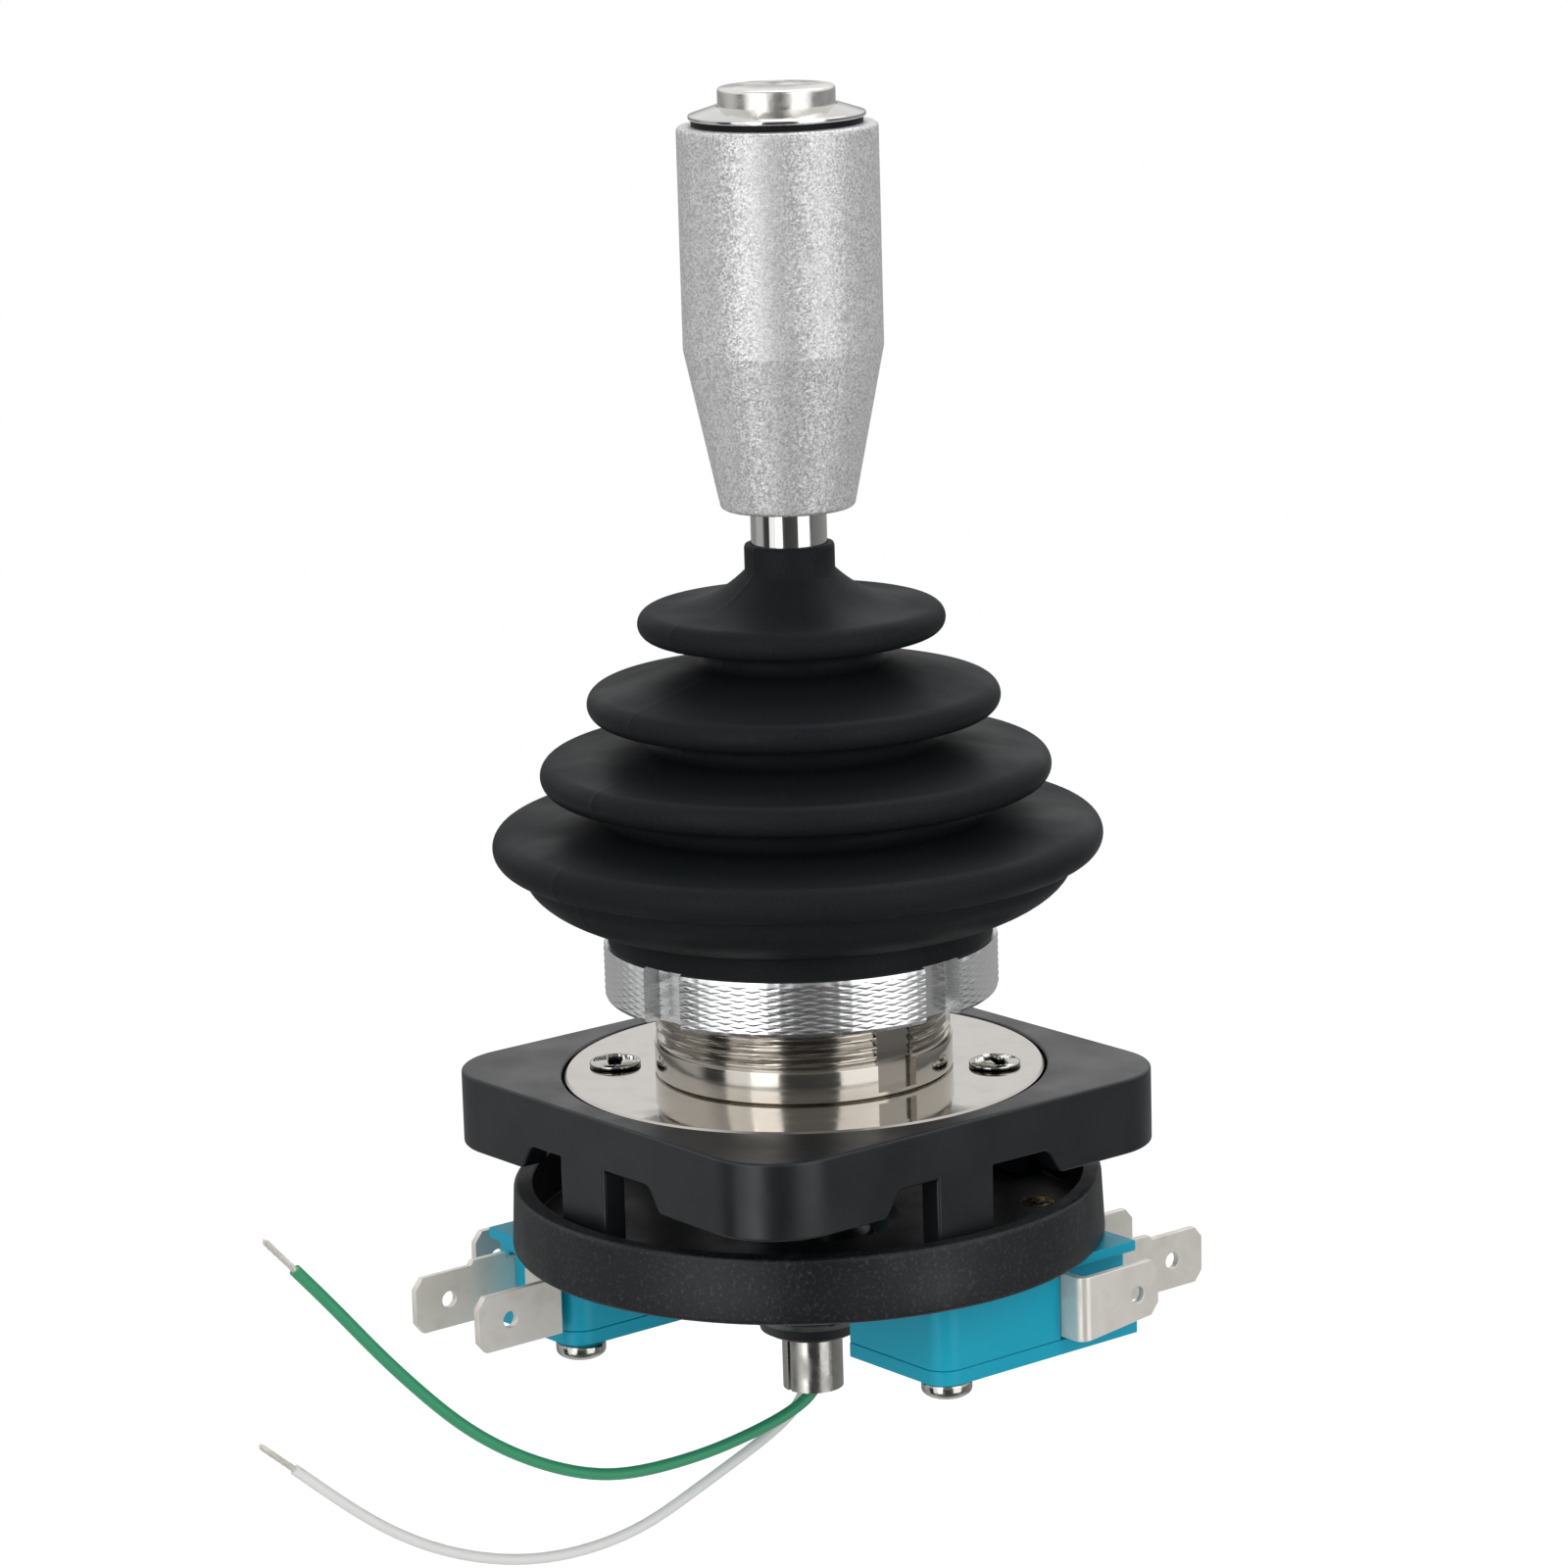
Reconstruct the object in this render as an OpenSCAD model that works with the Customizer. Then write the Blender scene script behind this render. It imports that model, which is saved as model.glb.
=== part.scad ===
// Panel joystick: a lever with a thumb button tilts to either side and works one of two snap switches.
// The origin is the centre of the seat disc's top face, where the panel lies. +Z points up the lever.
// The lever tilts about Y. One switch lies on the +X side and its turned copy on the -X side.

/* [Collar and ring nut] */
// Radius of the collar's smooth part, which fills the panel's hole
collar_r = 15.9; // [15.5:0.1:16.5]
// Height of the collar's smooth part above the seat disc
collar_smooth_h = 3.5; // [2:0.1:5]
// How far the thread's crests lie inside the smooth part
thread_relief = 0.2; // [0.1:0.05:0.4]
// Wall of the collar behind its smooth part
collar_wall = 4.4; // [3.5:0.1:5]
// Width of the keyway down the collar
keyway_w = 4.4; // [3:0.1:6]
// Depth of the keyway
keyway_d = 1; // [0.5:0.1:1.5]
// Outer radius of the ring nut
nut_r = 20.95; // [19.5:0.05:22]
// Height of the ring nut
nut_h = 6; // [5:0.1:8]
// Clear height between seat disc and ring nut, for the panel
panel_gap = 8.6; // [7:0.1:11]
// Edge break at the top and bottom of the ring nut
nut_chamfer = 0.45; // [0.2:0.05:0.8]
// Number of spanner slots round the ring nut
nut_slots = 4; // [2:1:8]
// Width of a spanner slot
nut_slot_w = 4.8; // [3:0.1:6]
// Depth of a spanner slot
nut_slot_d = 2.2; // [1:0.1:3]
// Turn of the spanner slots against the keyway, in degrees
nut_turn = 6.3; // [0:0.1:45]

/* [Pivot housing] */
// Radius of the housing's flange, which lies under the seat disc
flange_r = 18.3; // [17.5:0.1:18.6]
// Thickness of the flange
flange_t = 2; // [1.6:0.1:2.4]
// Radius of the housing below its flange
spigot_r = 13.8; // [13.2:0.1:14.4]
// Height of the spring's seat above the seat disc
seat_z = 3; // [2:0.1:4]
// Thickness of the washer on that seat
seat_t = 1; // [0.6:0.1:1.4]

/* [Seat disc] */
// Radius of the nickel seat disc
disc_r = 25.6; // [24.5:0.1:26]
// Thickness of the seat disc
disc_t = 1.6; // [1.2:0.1:2]
// Open groove between the seat disc and the plate round it
disc_groove = 0.3; // [0.1:0.05:0.6]
// Place of each disc screw along X and Y
disc_screw_at = 14.4; // [14.2:0.1:15]
// Radius of the disc screws' countersunk heads
disc_screw_head_r = 2.65; // [2.2:0.05:2.9]
// Radius of the disc screws' shanks
disc_screw_r = 1.5; // [1.2:0.05:1.6]
// Length of the disc screws
disc_screw_l = 7.2; // [6:0.1:7.8]

/* [Square plate] */
// Side of the square plate
plate_w = 57.1; // [56.5:0.1:60]
// Radius of the plate's corners
plate_corner_r = 8.2; // [6:0.1:10]
// Height of the plate's rim
plate_h = 8.2; // [7.8:0.1:9]
// Thickness of the plate's top
plate_web_t = 4.6; // [4.4:0.1:5]
// Thickness of the plate's rim
plate_skirt_t = 3; // [2.6:0.1:3.5]
// Height of the notches cut in the rim
notch_h = 2.7; // [2:0.1:2.9]
// Width of a notch where it is closed
notch_w_top = 19.3; // [17:0.1:21]
// Width of a notch at the rim's lower edge
notch_w_low = 24.4; // [22:0.1:26]
// How far a notch is off the middle of its side
notch_off = 0.8; // [0:0.1:1.5]
// Width of a leg
leg_w = 7.6; // [7:0.1:8]
// Thickness of a leg
leg_t = 2.8; // [2.6:0.1:3]
// How far a leg is off the middle of its side
leg_off = 2; // [1.5:0.1:2.2]

/* [Cup] */
// Clearance between the legs' outer corners and the wall of the cup
cup_gap = 0.37; // [0.3:0.01:1.5]
// How much the cup is wider at its bottom
cup_draft = 0.3; // [0:0.05:0.6]
// Wall and floor of the cup
cup_wall = 2; // [1.8:0.1:2.2]
// Open height between the plate's rim and the cup's rim
cup_drop = 3.5; // [3:0.1:5]
// Height of the cup
cup_h = 7.1; // [6.5:0.1:8]
// Radius of the opening in the cup's floor
cup_hole_r = 9.6; // [9.4:0.1:10.2]
// Radius of the cup screws' shanks
cup_screw_r = 0.9; // [0.7:0.05:1]
// Radius of the cup screws' heads
cup_screw_head_r = 1.55; // [1.4:0.05:1.8]
// Length of the cup screws
cup_screw_l = 6.5; // [5:0.1:7]

/* [Switches] */
// Distance from the lever's axis to a switch case
case_gap = 11.1; // [11.1:0.1:11.6]
// Width of a switch case, from its plunger side to its back
case_w = 15.1; // [15:0.1:15.4]
// Length of a switch case
case_l = 27.5; // [27.2:0.1:28]
// Thickness of a switch case with its cover
case_t = 10.3; // [10:0.1:10.6]
// How far a switch case reaches past its plunger's middle
case_nose = 3.9; // [3.7:0.1:4.2]
// Wall of a switch case
case_wall = 1.2; // [1:0.1:1.3]
// Thickness of a switch cover
cover_t = 1.6; // [1.2:0.1:1.8]
// Radius of the corners at the screws
case_corner_r = 2.6; // [2:0.1:2.8]
// Distance of a screw from the two sides of its corner
case_screw_in = 2.6; // [2.5:0.1:2.8]
// How far a plunger's tip stands out of its case at rest
plunger_out = 1.1; // [0.9:0.05:1.1]
// Travel of a plunger
plunger_travel = 0.9; // [0.6:0.05:0.9]
// Side of a plunger's square stem
plunger_w = 3; // [2.4:0.1:3.2]
// Width of the terminal blades
tab_w = 6.2; // [5.8:0.1:6.3]
// Thickness of the terminal blades
tab_t = 0.8; // [0.6:0.05:0.9]
// Radius of the hole in a terminal blade
tab_hole_r = 0.9; // [0.6:0.05:1.2]
// Distance of the common blade from the plunger's middle
com_y = 12.8; // [12:0.1:13.5]
// Length of the common blade past its bend
com_l = 10.8; // [8:0.1:11.5]
// Length of the normally open blade outside the case
no_l = 13.1; // [11:0.1:14]
// Length of the normally closed blade outside the case
nc_l = 12.2; // [10:0.1:13]
// Radius of the switch screws' heads
screw_head_r = 2.7; // [2.4:0.05:2.9]
// Height of the switch screws' heads
screw_head_h = 2; // [1.4:0.1:2.2]
// Radius of the switch screws' shanks
screw_r = 1.4; // [1.2:0.05:1.45]
// Distance between the moving contact and the open one at rest
contact_travel = 1.7; // [1.2:0.1:2]
// Thickness of the fixed contacts
contact_t = 0.5; // [0.4:0.05:0.7]

/* [Lever] */
// Depth of the lever's pivot below the seat disc's top
pivot_depth = 5; // [4.8:0.1:5.4]
// Radius of the trunnions
trunnion_r = 1.5; // [1.2:0.05:1.6]
// Radius of the hub that turns on the trunnions
hub_r = 6.5; // [6:0.1:6.8]
// Radius of the chrome rod
rod_r = 4; // [3.7:0.05:4.3]
// Radius of the rod's bore for the leads
rod_bore_r = 1.9; // [1.5:0.05:2.2]
// Radius of the lower tube
tube_r = 3.28; // [3:0.02:3.5]
// Wall of the lower tube
tube_wall = 0.8; // [0.6:0.05:1]
// How far the lower tube's end lies below the seat disc's top
tube_end = 35.8; // [34:0.1:38]
// Length of the centring spring at rest
spring_l = 16; // [14:0.5:18]
// Radius of the centring spring's wire
spring_wire_r = 0.75; // [0.6:0.05:0.9]
// Width of the seam along the lower tube
seam_w = 0.45; // [0.2:0.05:0.7]
// Radius of the actuator cam over its lobes
cam_r = 7.1; // [6.6:0.05:7.1]
// Number of flutes round the cam
cam_flutes = 9; // [6:1:12]
// Radius of the flutes
cam_flute_r = 0.9; // [0.5:0.05:1.1]
// How far the cam's end lies below the seat disc's top
cam_end = 29.6; // [29:0.1:31]

/* [Grip and button] */
// Radius of the grip
grip_r = 10.45; // [10:0.05:11]
// Radius of the grip's lower end
grip_end_r = 7.1; // [6.6:0.05:8]
// Height of the grip's lower end above the seat disc
grip_at = 60.5; // [59.8:0.1:62]
// Length of the grip
grip_l = 39.9; // [39:0.1:44]
// Length of the grip's tapered part
grip_taper_l = 16.8; // [14:0.1:18]
// Rounding of the grip's edges
grip_round = 0.5; // [0.3:0.05:0.8]
// Radius of the black gasket under the bezel
gasket_r = 8.9; // [8.6:0.05:9.5]
// Thickness of the gasket
gasket_t = 0.6; // [0.4:0.05:0.9]
// Radius of the bezel
bezel_r = 9.2; // [8.9:0.05:10]
// Height of the bezel's thin edge
bezel_edge = 0.5; // [0.3:0.05:0.8]
// Rise of the bezel from its edge to its inner lip
bezel_rise = 0.9; // [0.6:0.05:1.2]
// Radius of the button's threaded barrel
barrel_r = 7.9; // [7.7:0.05:8.2]
// Radius of the button cap
cap_r = 6.1; // [5.8:0.05:6.3]
// How far the cap stands out of the bezel's lip at rest
cap_out = 1.9; // [1.7:0.05:2.4]
// Travel of the button cap
cap_travel = 1.5; // [0.8:0.05:1.5]

/* [Bellows] */
// Radii of the four folds, top to bottom
fold_r = [16.2, 21.8, 27, 32.3]; // [14:0.1:34]
// Heights of the four folds above the seat disc
fold_z = [48.5, 40.1, 32.6, 25.1]; // [20:0.1:52]
// Half thicknesses of the four folds
fold_h = [1.5, 1.6, 1.7, 1.9]; // [1.2:0.05:2.2]
// Radii of the three valleys between the folds
valley_r = [9.3, 15, 20]; // [8:0.1:22]
// Radius of the bellows' neck
neck_r = 4.75; // [4.6:0.05:5.4]
// Height of the neck's top above the seat disc
neck_top = 56.7; // [56:0.1:58]
// Height of the neck
neck_h = 2.8; // [2:0.1:3.5]
// Height of the lip that stands on the ring nut
lip_h = 2.6; // [2:0.1:3.2]
// How nearly straight the bowl runs in from the last fold to the lip: 1 is a quarter ellipse, 2 is straight
bowl_bend = 1.25; // [1:0.05:1.6]
// Thickness of the rubber
rubber_t = 1; // [0.8:0.05:1.1]

/* [Leads] */
// Radius of the green lead
green_r = 0.65; // [0.5:0.05:0.7]
// Radius of the white lead
white_r = 0.6; // [0.5:0.05:0.7]
// Distance between the two leads in the lever
lead_pitch = 1.6; // [1.5:0.1:1.9]

/* [Hidden] */
$fn = 96;

// Clearance of a part that turns or slides in another
run_gap = 0.05;
// Clearance of parts that are put together and stay
fit_gap = 0.03;
// Overshoot of a cutting shape
over = 1;

// Heights
nut_z = panel_gap;
nut_top = nut_z + nut_h;
lip_t = 1.4;
collar_top = nut_top + lip_t + 1.3;
web_z = -plate_web_t;
rim_z = -plate_h;
cup_rim_z = rim_z - cup_drop;
cup_z = cup_rim_z - cup_h;
cup_floor_z = cup_z + cup_wall;
case_z = cup_z - case_t;
cover_z = case_z + cover_t;
case_mid_z = cup_z - case_t / 2;
pivot_z = -pivot_depth;
grip_top = grip_at + grip_l;
gasket_top = grip_top + gasket_t;
bezel_lip_z = gasket_top + bezel_edge + bezel_rise;
cap_top = bezel_lip_z + cap_out;

// Collar and housing
thread_r = collar_r - thread_relief;
collar_foot_r = collar_r - 0.3;
collar_bore_r = collar_r - collar_wall;
groove_r = collar_r - 0.9;
flange_z = -disc_t - flange_t;
housing_bore_r = hub_r + 2;

// Centring spring and its retainer
retainer_z = seat_z + seat_t + spring_l;
retainer_t = 1.2;
retainer_r = rod_r + 4.4;
retainer_slot_w = 3;
spring_low_r = collar_bore_r - spring_wire_r - 2.35;
spring_top_r = retainer_r - spring_wire_r - 0.85;

// Cup
cup_r = norm([plate_w / 2, leg_off + leg_w / 2]) + cup_gap + cup_wall;
leg_screw_in = cup_screw_r + 0.5;
insert_wall = 0.35;
insert_r = screw_r + insert_wall;

// Lever
hub_top = pivot_z + hub_r;
hub_end = pivot_z - hub_r - 0.5;
socket_d = 3;
hub_bore_r = rod_bore_r;
rod_top = grip_top - 22.4;
barrel_l = 15;
barrel_end = gasket_top - barrel_l;
barrel_wall = 1;
block_t = 3.5;
cap_guide_l = 5;
cap_flange_r = cap_r + 0.6;
pin_l = 6;
lead_join_z = -33;
lead_knee_z = rod_top + 0.8;
pin_x = 2.5;
pin_end = barrel_end - 3.5;

// Switch, on the +X side
case_x1 = case_gap + case_w;
case_y0 = -case_nose;
case_y1 = case_y0 + case_l;
screw_a = [case_x1 - case_screw_in, case_y0 + case_screw_in + 0.2];
screw_b = [case_gap + case_screw_in - 0.3, case_y1 - case_screw_in + 0.1];
pillar_r = screw_r + 0.9;
com_x = case_x1 + 2.6;
pocket_d = 2;
terminal_gap = 0.6;
no_x = case_x1 - pocket_d - case_wall - terminal_gap - tab_t;
nc_x = screw_b[0] + pillar_r + terminal_gap - 0.1;
nc_out_x = case_gap + 0.4;
blade_t = 0.3;
contact_x = nc_x + tab_t + contact_t;
contact_l = no_x - contact_t - contact_x - contact_travel;
blade_x = contact_x + (contact_l - blade_t) / 2;
tab_top = case_mid_z + tab_w / 2;
contact_y = case_y1 - 4;
contact_z = case_mid_z + 0.2;

// The free tails of the leads, from the lower tube's mouth
green_path = [
    [0.8, 0, -33], [0.8, 0, -34.5], [0.75, -0.5, -36.3], [0.5, -2.5, -37.6], [0.1, -5.5, -38.7],
    [-0.4, -9.2, -39.6], [-0.9, -13.8, -40.4], [-1.6, -19.1, -40.8], [-2.4, -25.4, -40.7],
    [-3.1, -31.6, -38.7], [-3.9, -37.8, -35.4], [-4.6, -43.3, -31.3], [-5.2, -48.2, -26.3],
    [-5.7, -52.8, -21.2], [-6.3, -57.2, -15.7], [-6.8, -61.8, -10.4], [-7.2, -64.8, -7]
];
white_path = [
    [-0.8, 0, -33], [-0.8, 0, -34.4], [-0.85, -0.3, -36.2], [-1.1, -1.4, -38.2], [-1.6, -3.4, -40],
    [-2.3, -6.1, -41.7], [-3.3, -9.6, -43.7], [-4.3, -13.8, -45.9], [-5.6, -18.8, -48.6],
    [-7.1, -24.5, -50.1], [-8.8, -30.8, -50.4], [-10.3, -36.8, -49.2], [-11.8, -42.6, -46.9],
    [-13.2, -47.9, -43.6], [-14.4, -52.7, -39.5], [-15.6, -57.3, -35.2], [-16.5, -60.6, -32.2]
];
lead_sides = 8;
lead_steps = 3;

// Curves

// Points of an arc about centre c from angle a0 to a1
function arc(c, r, a0, a1, n = 10) =
    [for (i = [0:n]) let (a = a0 + (a1 - a0) * i / n) [c[0] + r * cos(a), c[1] + r * sin(a)]];

// A point of a uniform cubic B-spline
function spline_at(p, t) =
    let (n = len(p), i = min(floor(t), n - 2), u = t - i,
         a = i > 0 ? p[i - 1] : 2 * p[0] - p[1], d = i < n - 2 ? p[i + 2] : 2 * p[n - 1] - p[n - 2])
    (pow(1 - u, 3) * a + (3 * pow(u, 3) - 6 * u * u + 4) * p[i]
     + (1 + 3 * u + 3 * u * u - 3 * pow(u, 3)) * p[i + 1] + pow(u, 3) * d) / 6;

function spline(p, steps) = [for (k = [0:(len(p) - 1) * steps]) spline_at(p, k / steps)];

function unit(v) = v / norm(v);

function heading(c, i) = unit(c[min(i + 1, len(c) - 1)] - c[max(i - 1, 0)]);

// A tube swept along the points c, with flat ends
module sweep(c, r, sides, side = [1, 0, 0]) {
    n = len(c);
    rings = [for (i = [0:n - 1])
        let (t = heading(c, i), u = unit(side - (side * t) * t), v = cross(t, u))
        for (k = [0:sides - 1]) let (a = 360 * k / sides) c[i] + r * (cos(a) * u + sin(a) * v)];
    walls = [for (i = [0:n - 2], k = [0:sides - 1])
        let (a = i * sides + k, b = i * sides + (k + 1) % sides) [a, a + sides, b + sides, b]];
    ends = [[for (k = [0:sides - 1]) k], [for (k = [sides - 1:-1:0]) (n - 1) * sides + k]];
    polyhedron(points = rings, faces = concat(walls, ends), convexity = 6);
}

// A compression spring from z0 to z1 whose end turns close up
module coil(r0, r1, wire_r, z0, z1, turns, per_turn = 16, sides = 8) {
    n = turns * per_turn;
    rise = z1 - z0 - 2 * wire_r - 2 * wire_r;
    path = [for (i = [0:n])
        let (t = i / n, a = 360 * turns * t, q = turns * t, open = min(max((q - 1) / (turns - 2), 0), 1),
             ends = min(q, 1) + min(max(q - turns + 1, 0), 1), r = r0 + (r1 - r0) * t)
        [r * cos(a), r * sin(a), z0 + wire_r + wire_r * ends + rise * open]];
    sweep(path, wire_r, sides, [0, 0, 1]);
}

// Simple solids

module disc(r, z0, z1) translate([0, 0, z0]) cylinder(r = r, h = z1 - z0);

module ring(r, bore, z0, z1) {
    difference() {
        disc(r, z0, z1);
        disc(bore, z0 - over, z1 + over);
    }
}

module rounded_square(w, r) {
    union() {
        square([w - 2 * r, w], center = true);
        square([w, w - 2 * r], center = true);
        for (x = [-1, 1], y = [-1, 1])
            translate([x * (w / 2 - r), y * (w / 2 - r)]) circle(r);
    }
}

// A countersunk screw that points down from the origin
module countersunk_screw(r, head_r, l, grow = 0) {
    rotate_extrude()
        polygon([[0, 0], [head_r + grow, 0], [r + grow, -(head_r - r)], [r + grow, -l - grow], [0, -l - grow]]);
}

// The cross recess of a screw head at the origin, cut down into it
module cross_recess(l, w, d) {
    for (a = [0, 90])
        rotate([0, 0, a]) translate([-l / 2, -w / 2, -d]) cube([l, w, d + over]);
}

module at_disc_screws() {
    for (s = [-1, 1])
        translate([s * disc_screw_at, s * disc_screw_at, 0]) children();
}

module at_sides() {
    for (a = [0:90:270])
        rotate([0, 0, a]) children();
}

module at_switch_screws() {
    for (a = [0, 180])
        rotate([0, 0, a])
            for (p = [screw_a, screw_b])
                translate([p[0], p[1], 0]) children();
}

module at_cup_screws() {
    at_sides() translate([-leg_off - leg_w / 2 + leg_screw_in, -plate_w / 2 + leg_t / 2, 0]) children();
}

// Collar, nut and seat

module threaded_collar() {
    color("silver")
    difference() {
        rotate_extrude()
            polygon([
                [collar_bore_r, -disc_t], [collar_foot_r, -disc_t], [collar_foot_r, 0], [collar_r, 0],
                [collar_r, collar_smooth_h], [thread_r - 0.3, collar_smooth_h],
                [thread_r - 0.3, collar_smooth_h + 0.3], [thread_r, collar_smooth_h + 0.6],
                [thread_r, nut_top], [groove_r, nut_top], [groove_r, nut_top + lip_t],
                [thread_r - 0.3, nut_top + lip_t], [thread_r - 0.6, collar_top], [collar_bore_r, collar_top]
            ]);
        translate([collar_r - keyway_d, -keyway_w / 2, 0.6])
            cube([keyway_d + over, keyway_w, nut_top - 0.6]);
    }
}

module ring_nut() {
    bore = thread_r + fit_gap;
    color("gainsboro")
    difference() {
        rotate_extrude()
            polygon([
                [bore, nut_z + nut_chamfer], [bore + nut_chamfer, nut_z], [nut_r - nut_chamfer, nut_z],
                [nut_r, nut_z + nut_chamfer], [nut_r, nut_top - nut_chamfer], [nut_r - nut_chamfer, nut_top],
                [bore, nut_top]
            ]);
        for (i = [0:nut_slots - 1])
            rotate([0, 0, nut_turn + 360 * i / nut_slots])
                translate([nut_r - nut_slot_d, -nut_slot_w / 2, nut_z - over])
                    cube([nut_slot_d + over, nut_slot_w, nut_h + 2 * over]);
    }
}

module pivot_housing() {
    neck_r = collar_bore_r - fit_gap;
    color("dimgray")
    difference() {
        rotate_extrude()
            polygon([
                [housing_bore_r, rim_z], [spigot_r - 0.4, rim_z], [spigot_r, rim_z + 0.4], [spigot_r, flange_z],
                [flange_r, flange_z], [flange_r, -disc_t], [neck_r, -disc_t], [neck_r, seat_z],
                [housing_bore_r, seat_z]
            ]);
        translate([0, 0, pivot_z]) rotate([90, 0, 0])
            cylinder(r = trunnion_r, h = 2 * (spigot_r + over), center = true);
    }
}

module trunnions() {
    color("silver")
    for (s = [-1, 1])
        translate([0, s * 3.4, pivot_z]) rotate([-90 * s, 0, 0])
            rotate_extrude()
                polygon([
                    [0, 0], [trunnion_r - 0.3, 0], [trunnion_r, 0.3], [trunnion_r, spigot_r - 3.4 - 0.1],
                    [0, spigot_r - 3.4 - 0.1]
                ]);
}

module seat_disc() {
    color("silver")
    difference() {
        rotate_extrude()
            polygon([
                [collar_foot_r + fit_gap, -disc_t], [disc_r, -disc_t], [disc_r, -0.2], [disc_r - 0.2, 0],
                [collar_foot_r + fit_gap, 0]
            ]);
        at_disc_screws()
            countersunk_screw(disc_screw_r, disc_screw_head_r, disc_screw_l, fit_gap);
    }
}

module disc_screws() {
    color("silver")
    at_disc_screws()
        difference() {
            countersunk_screw(disc_screw_r, disc_screw_head_r, disc_screw_l);
            rotate([0, 0, 20]) cross_recess(3.2, 0.7, 0.9);
        }
}

// Square plate and cup

// Outline of a rim notch, seen from the side, with its ends drawn as smooth steps
module notch_outline() {
    h = notch_h + over;
    side = [for (i = [0:8])
        let (t = i / 8) [notch_w_top / 2 + (notch_w_low - notch_w_top) / 2 * t, notch_h * (1 + cos(180 * t)) / 2]];
    polygon(concat([[notch_w_low / 2, -over]], [for (i = [8:-1:0]) side[i]],
                   [for (p = side) [-p[0], p[1]]], [[-notch_w_low / 2, -over]]));
}

module mounting_plate() {
    inner_w = plate_w - 2 * plate_skirt_t;
    color("dimgray") {
        difference() {
            union() {
                translate([0, 0, web_z]) linear_extrude(plate_web_t) rounded_square(plate_w, plate_corner_r);
                difference() {
                    translate([0, 0, rim_z]) linear_extrude(plate_h + web_z + over / 2)
                        rounded_square(plate_w, plate_corner_r);
                    translate([0, 0, rim_z - over]) linear_extrude(plate_h + web_z + over)
                        rounded_square(inner_w, plate_corner_r - plate_skirt_t);
                    at_sides()
                        translate([-notch_off, -plate_w / 2 + plate_skirt_t + over, rim_z]) rotate([90, 0, 0])
                            linear_extrude(plate_skirt_t + 2 * over) notch_outline();
                }
                disc(spigot_r + 2.6, rim_z, web_z + over / 2);
                at_disc_screws() disc(disc_screw_r + 1.5, rim_z, web_z + over / 2);
                for (a = [45:90:315])
                    rotate([0, 0, a])
                        translate([spigot_r + 1, -0.75, rim_z + 0.6])
                            cube([plate_w / 2 * sqrt(2) - spigot_r - 1 - 5, 1.5, plate_h + web_z]);
            }
            disc(disc_r + disc_groove, -disc_t, over);
            disc(flange_r + fit_gap, flange_z, 0);
            disc(spigot_r + fit_gap, rim_z - over, 0);
            at_disc_screws() disc(disc_screw_r, -disc_screw_l - 0.4, 0);
        }
        difference() {
            at_sides()
                translate([-leg_off - leg_w / 2, -plate_w / 2, cup_floor_z])
                    cube([leg_w, leg_t, web_z - cup_floor_z + over / 2]);
            at_cup_screws() disc(cup_screw_r, cup_floor_z - over, cup_z + cup_screw_l + 0.4);
        }
    }
}

module switch_cup() {
    low_r = cup_r + cup_draft;
    color("black")
    difference() {
        rotate_extrude()
            polygon(concat(
                [[cup_hole_r, cup_z], [low_r - 0.6, cup_z]],
                arc([low_r - 0.6, cup_z + 0.6], 0.6, -90, 0, 4),
                [[cup_r, cup_rim_z - 0.3], [cup_r - 0.3, cup_rim_z], [cup_r - cup_wall, cup_rim_z],
                 [cup_r - cup_wall, cup_floor_z], [cup_hole_r, cup_floor_z]]
            ));
        at_switch_screws() disc(insert_r, cup_z - over, cup_floor_z + over);
        at_cup_screws() translate([0, 0, cup_z]) mirror([0, 0, 1])
            countersunk_screw(cup_screw_r, cup_screw_head_r, cup_wall + over, fit_gap);
    }
}

module cup_screws() {
    color("silver")
    at_cup_screws() translate([0, 0, cup_z]) mirror([0, 0, 1])
        difference() {
            countersunk_screw(cup_screw_r, cup_screw_head_r, cup_screw_l);
            cross_recess(1.8, 0.45, 0.5);
        }
}

module cup_inserts() {
    color("goldenrod")
    at_switch_screws() ring(insert_r, screw_r, cup_z, cup_floor_z);
}

// Snap switches

// Outline of a switch case, with rounded corners at its two screws
module case_outline() {
    difference() {
        translate([case_gap, case_y0]) square([case_w, case_l]);
        translate([case_x1 - case_corner_r, case_y0 - over]) square([case_corner_r + over, case_corner_r + over]);
        translate([case_gap - over, case_y1 - case_corner_r]) square([case_corner_r + over, case_corner_r + over]);
    }
    translate([case_x1 - case_corner_r, case_y0 + case_corner_r]) circle(case_corner_r);
    translate([case_gap + case_corner_r, case_y1 - case_corner_r]) circle(case_corner_r);
}

module case_screw_holes(z0, z1) {
    for (p = [screw_a, screw_b])
        translate([p[0], p[1], 0]) disc(screw_r + 0.1, z0, z1);
}

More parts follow.
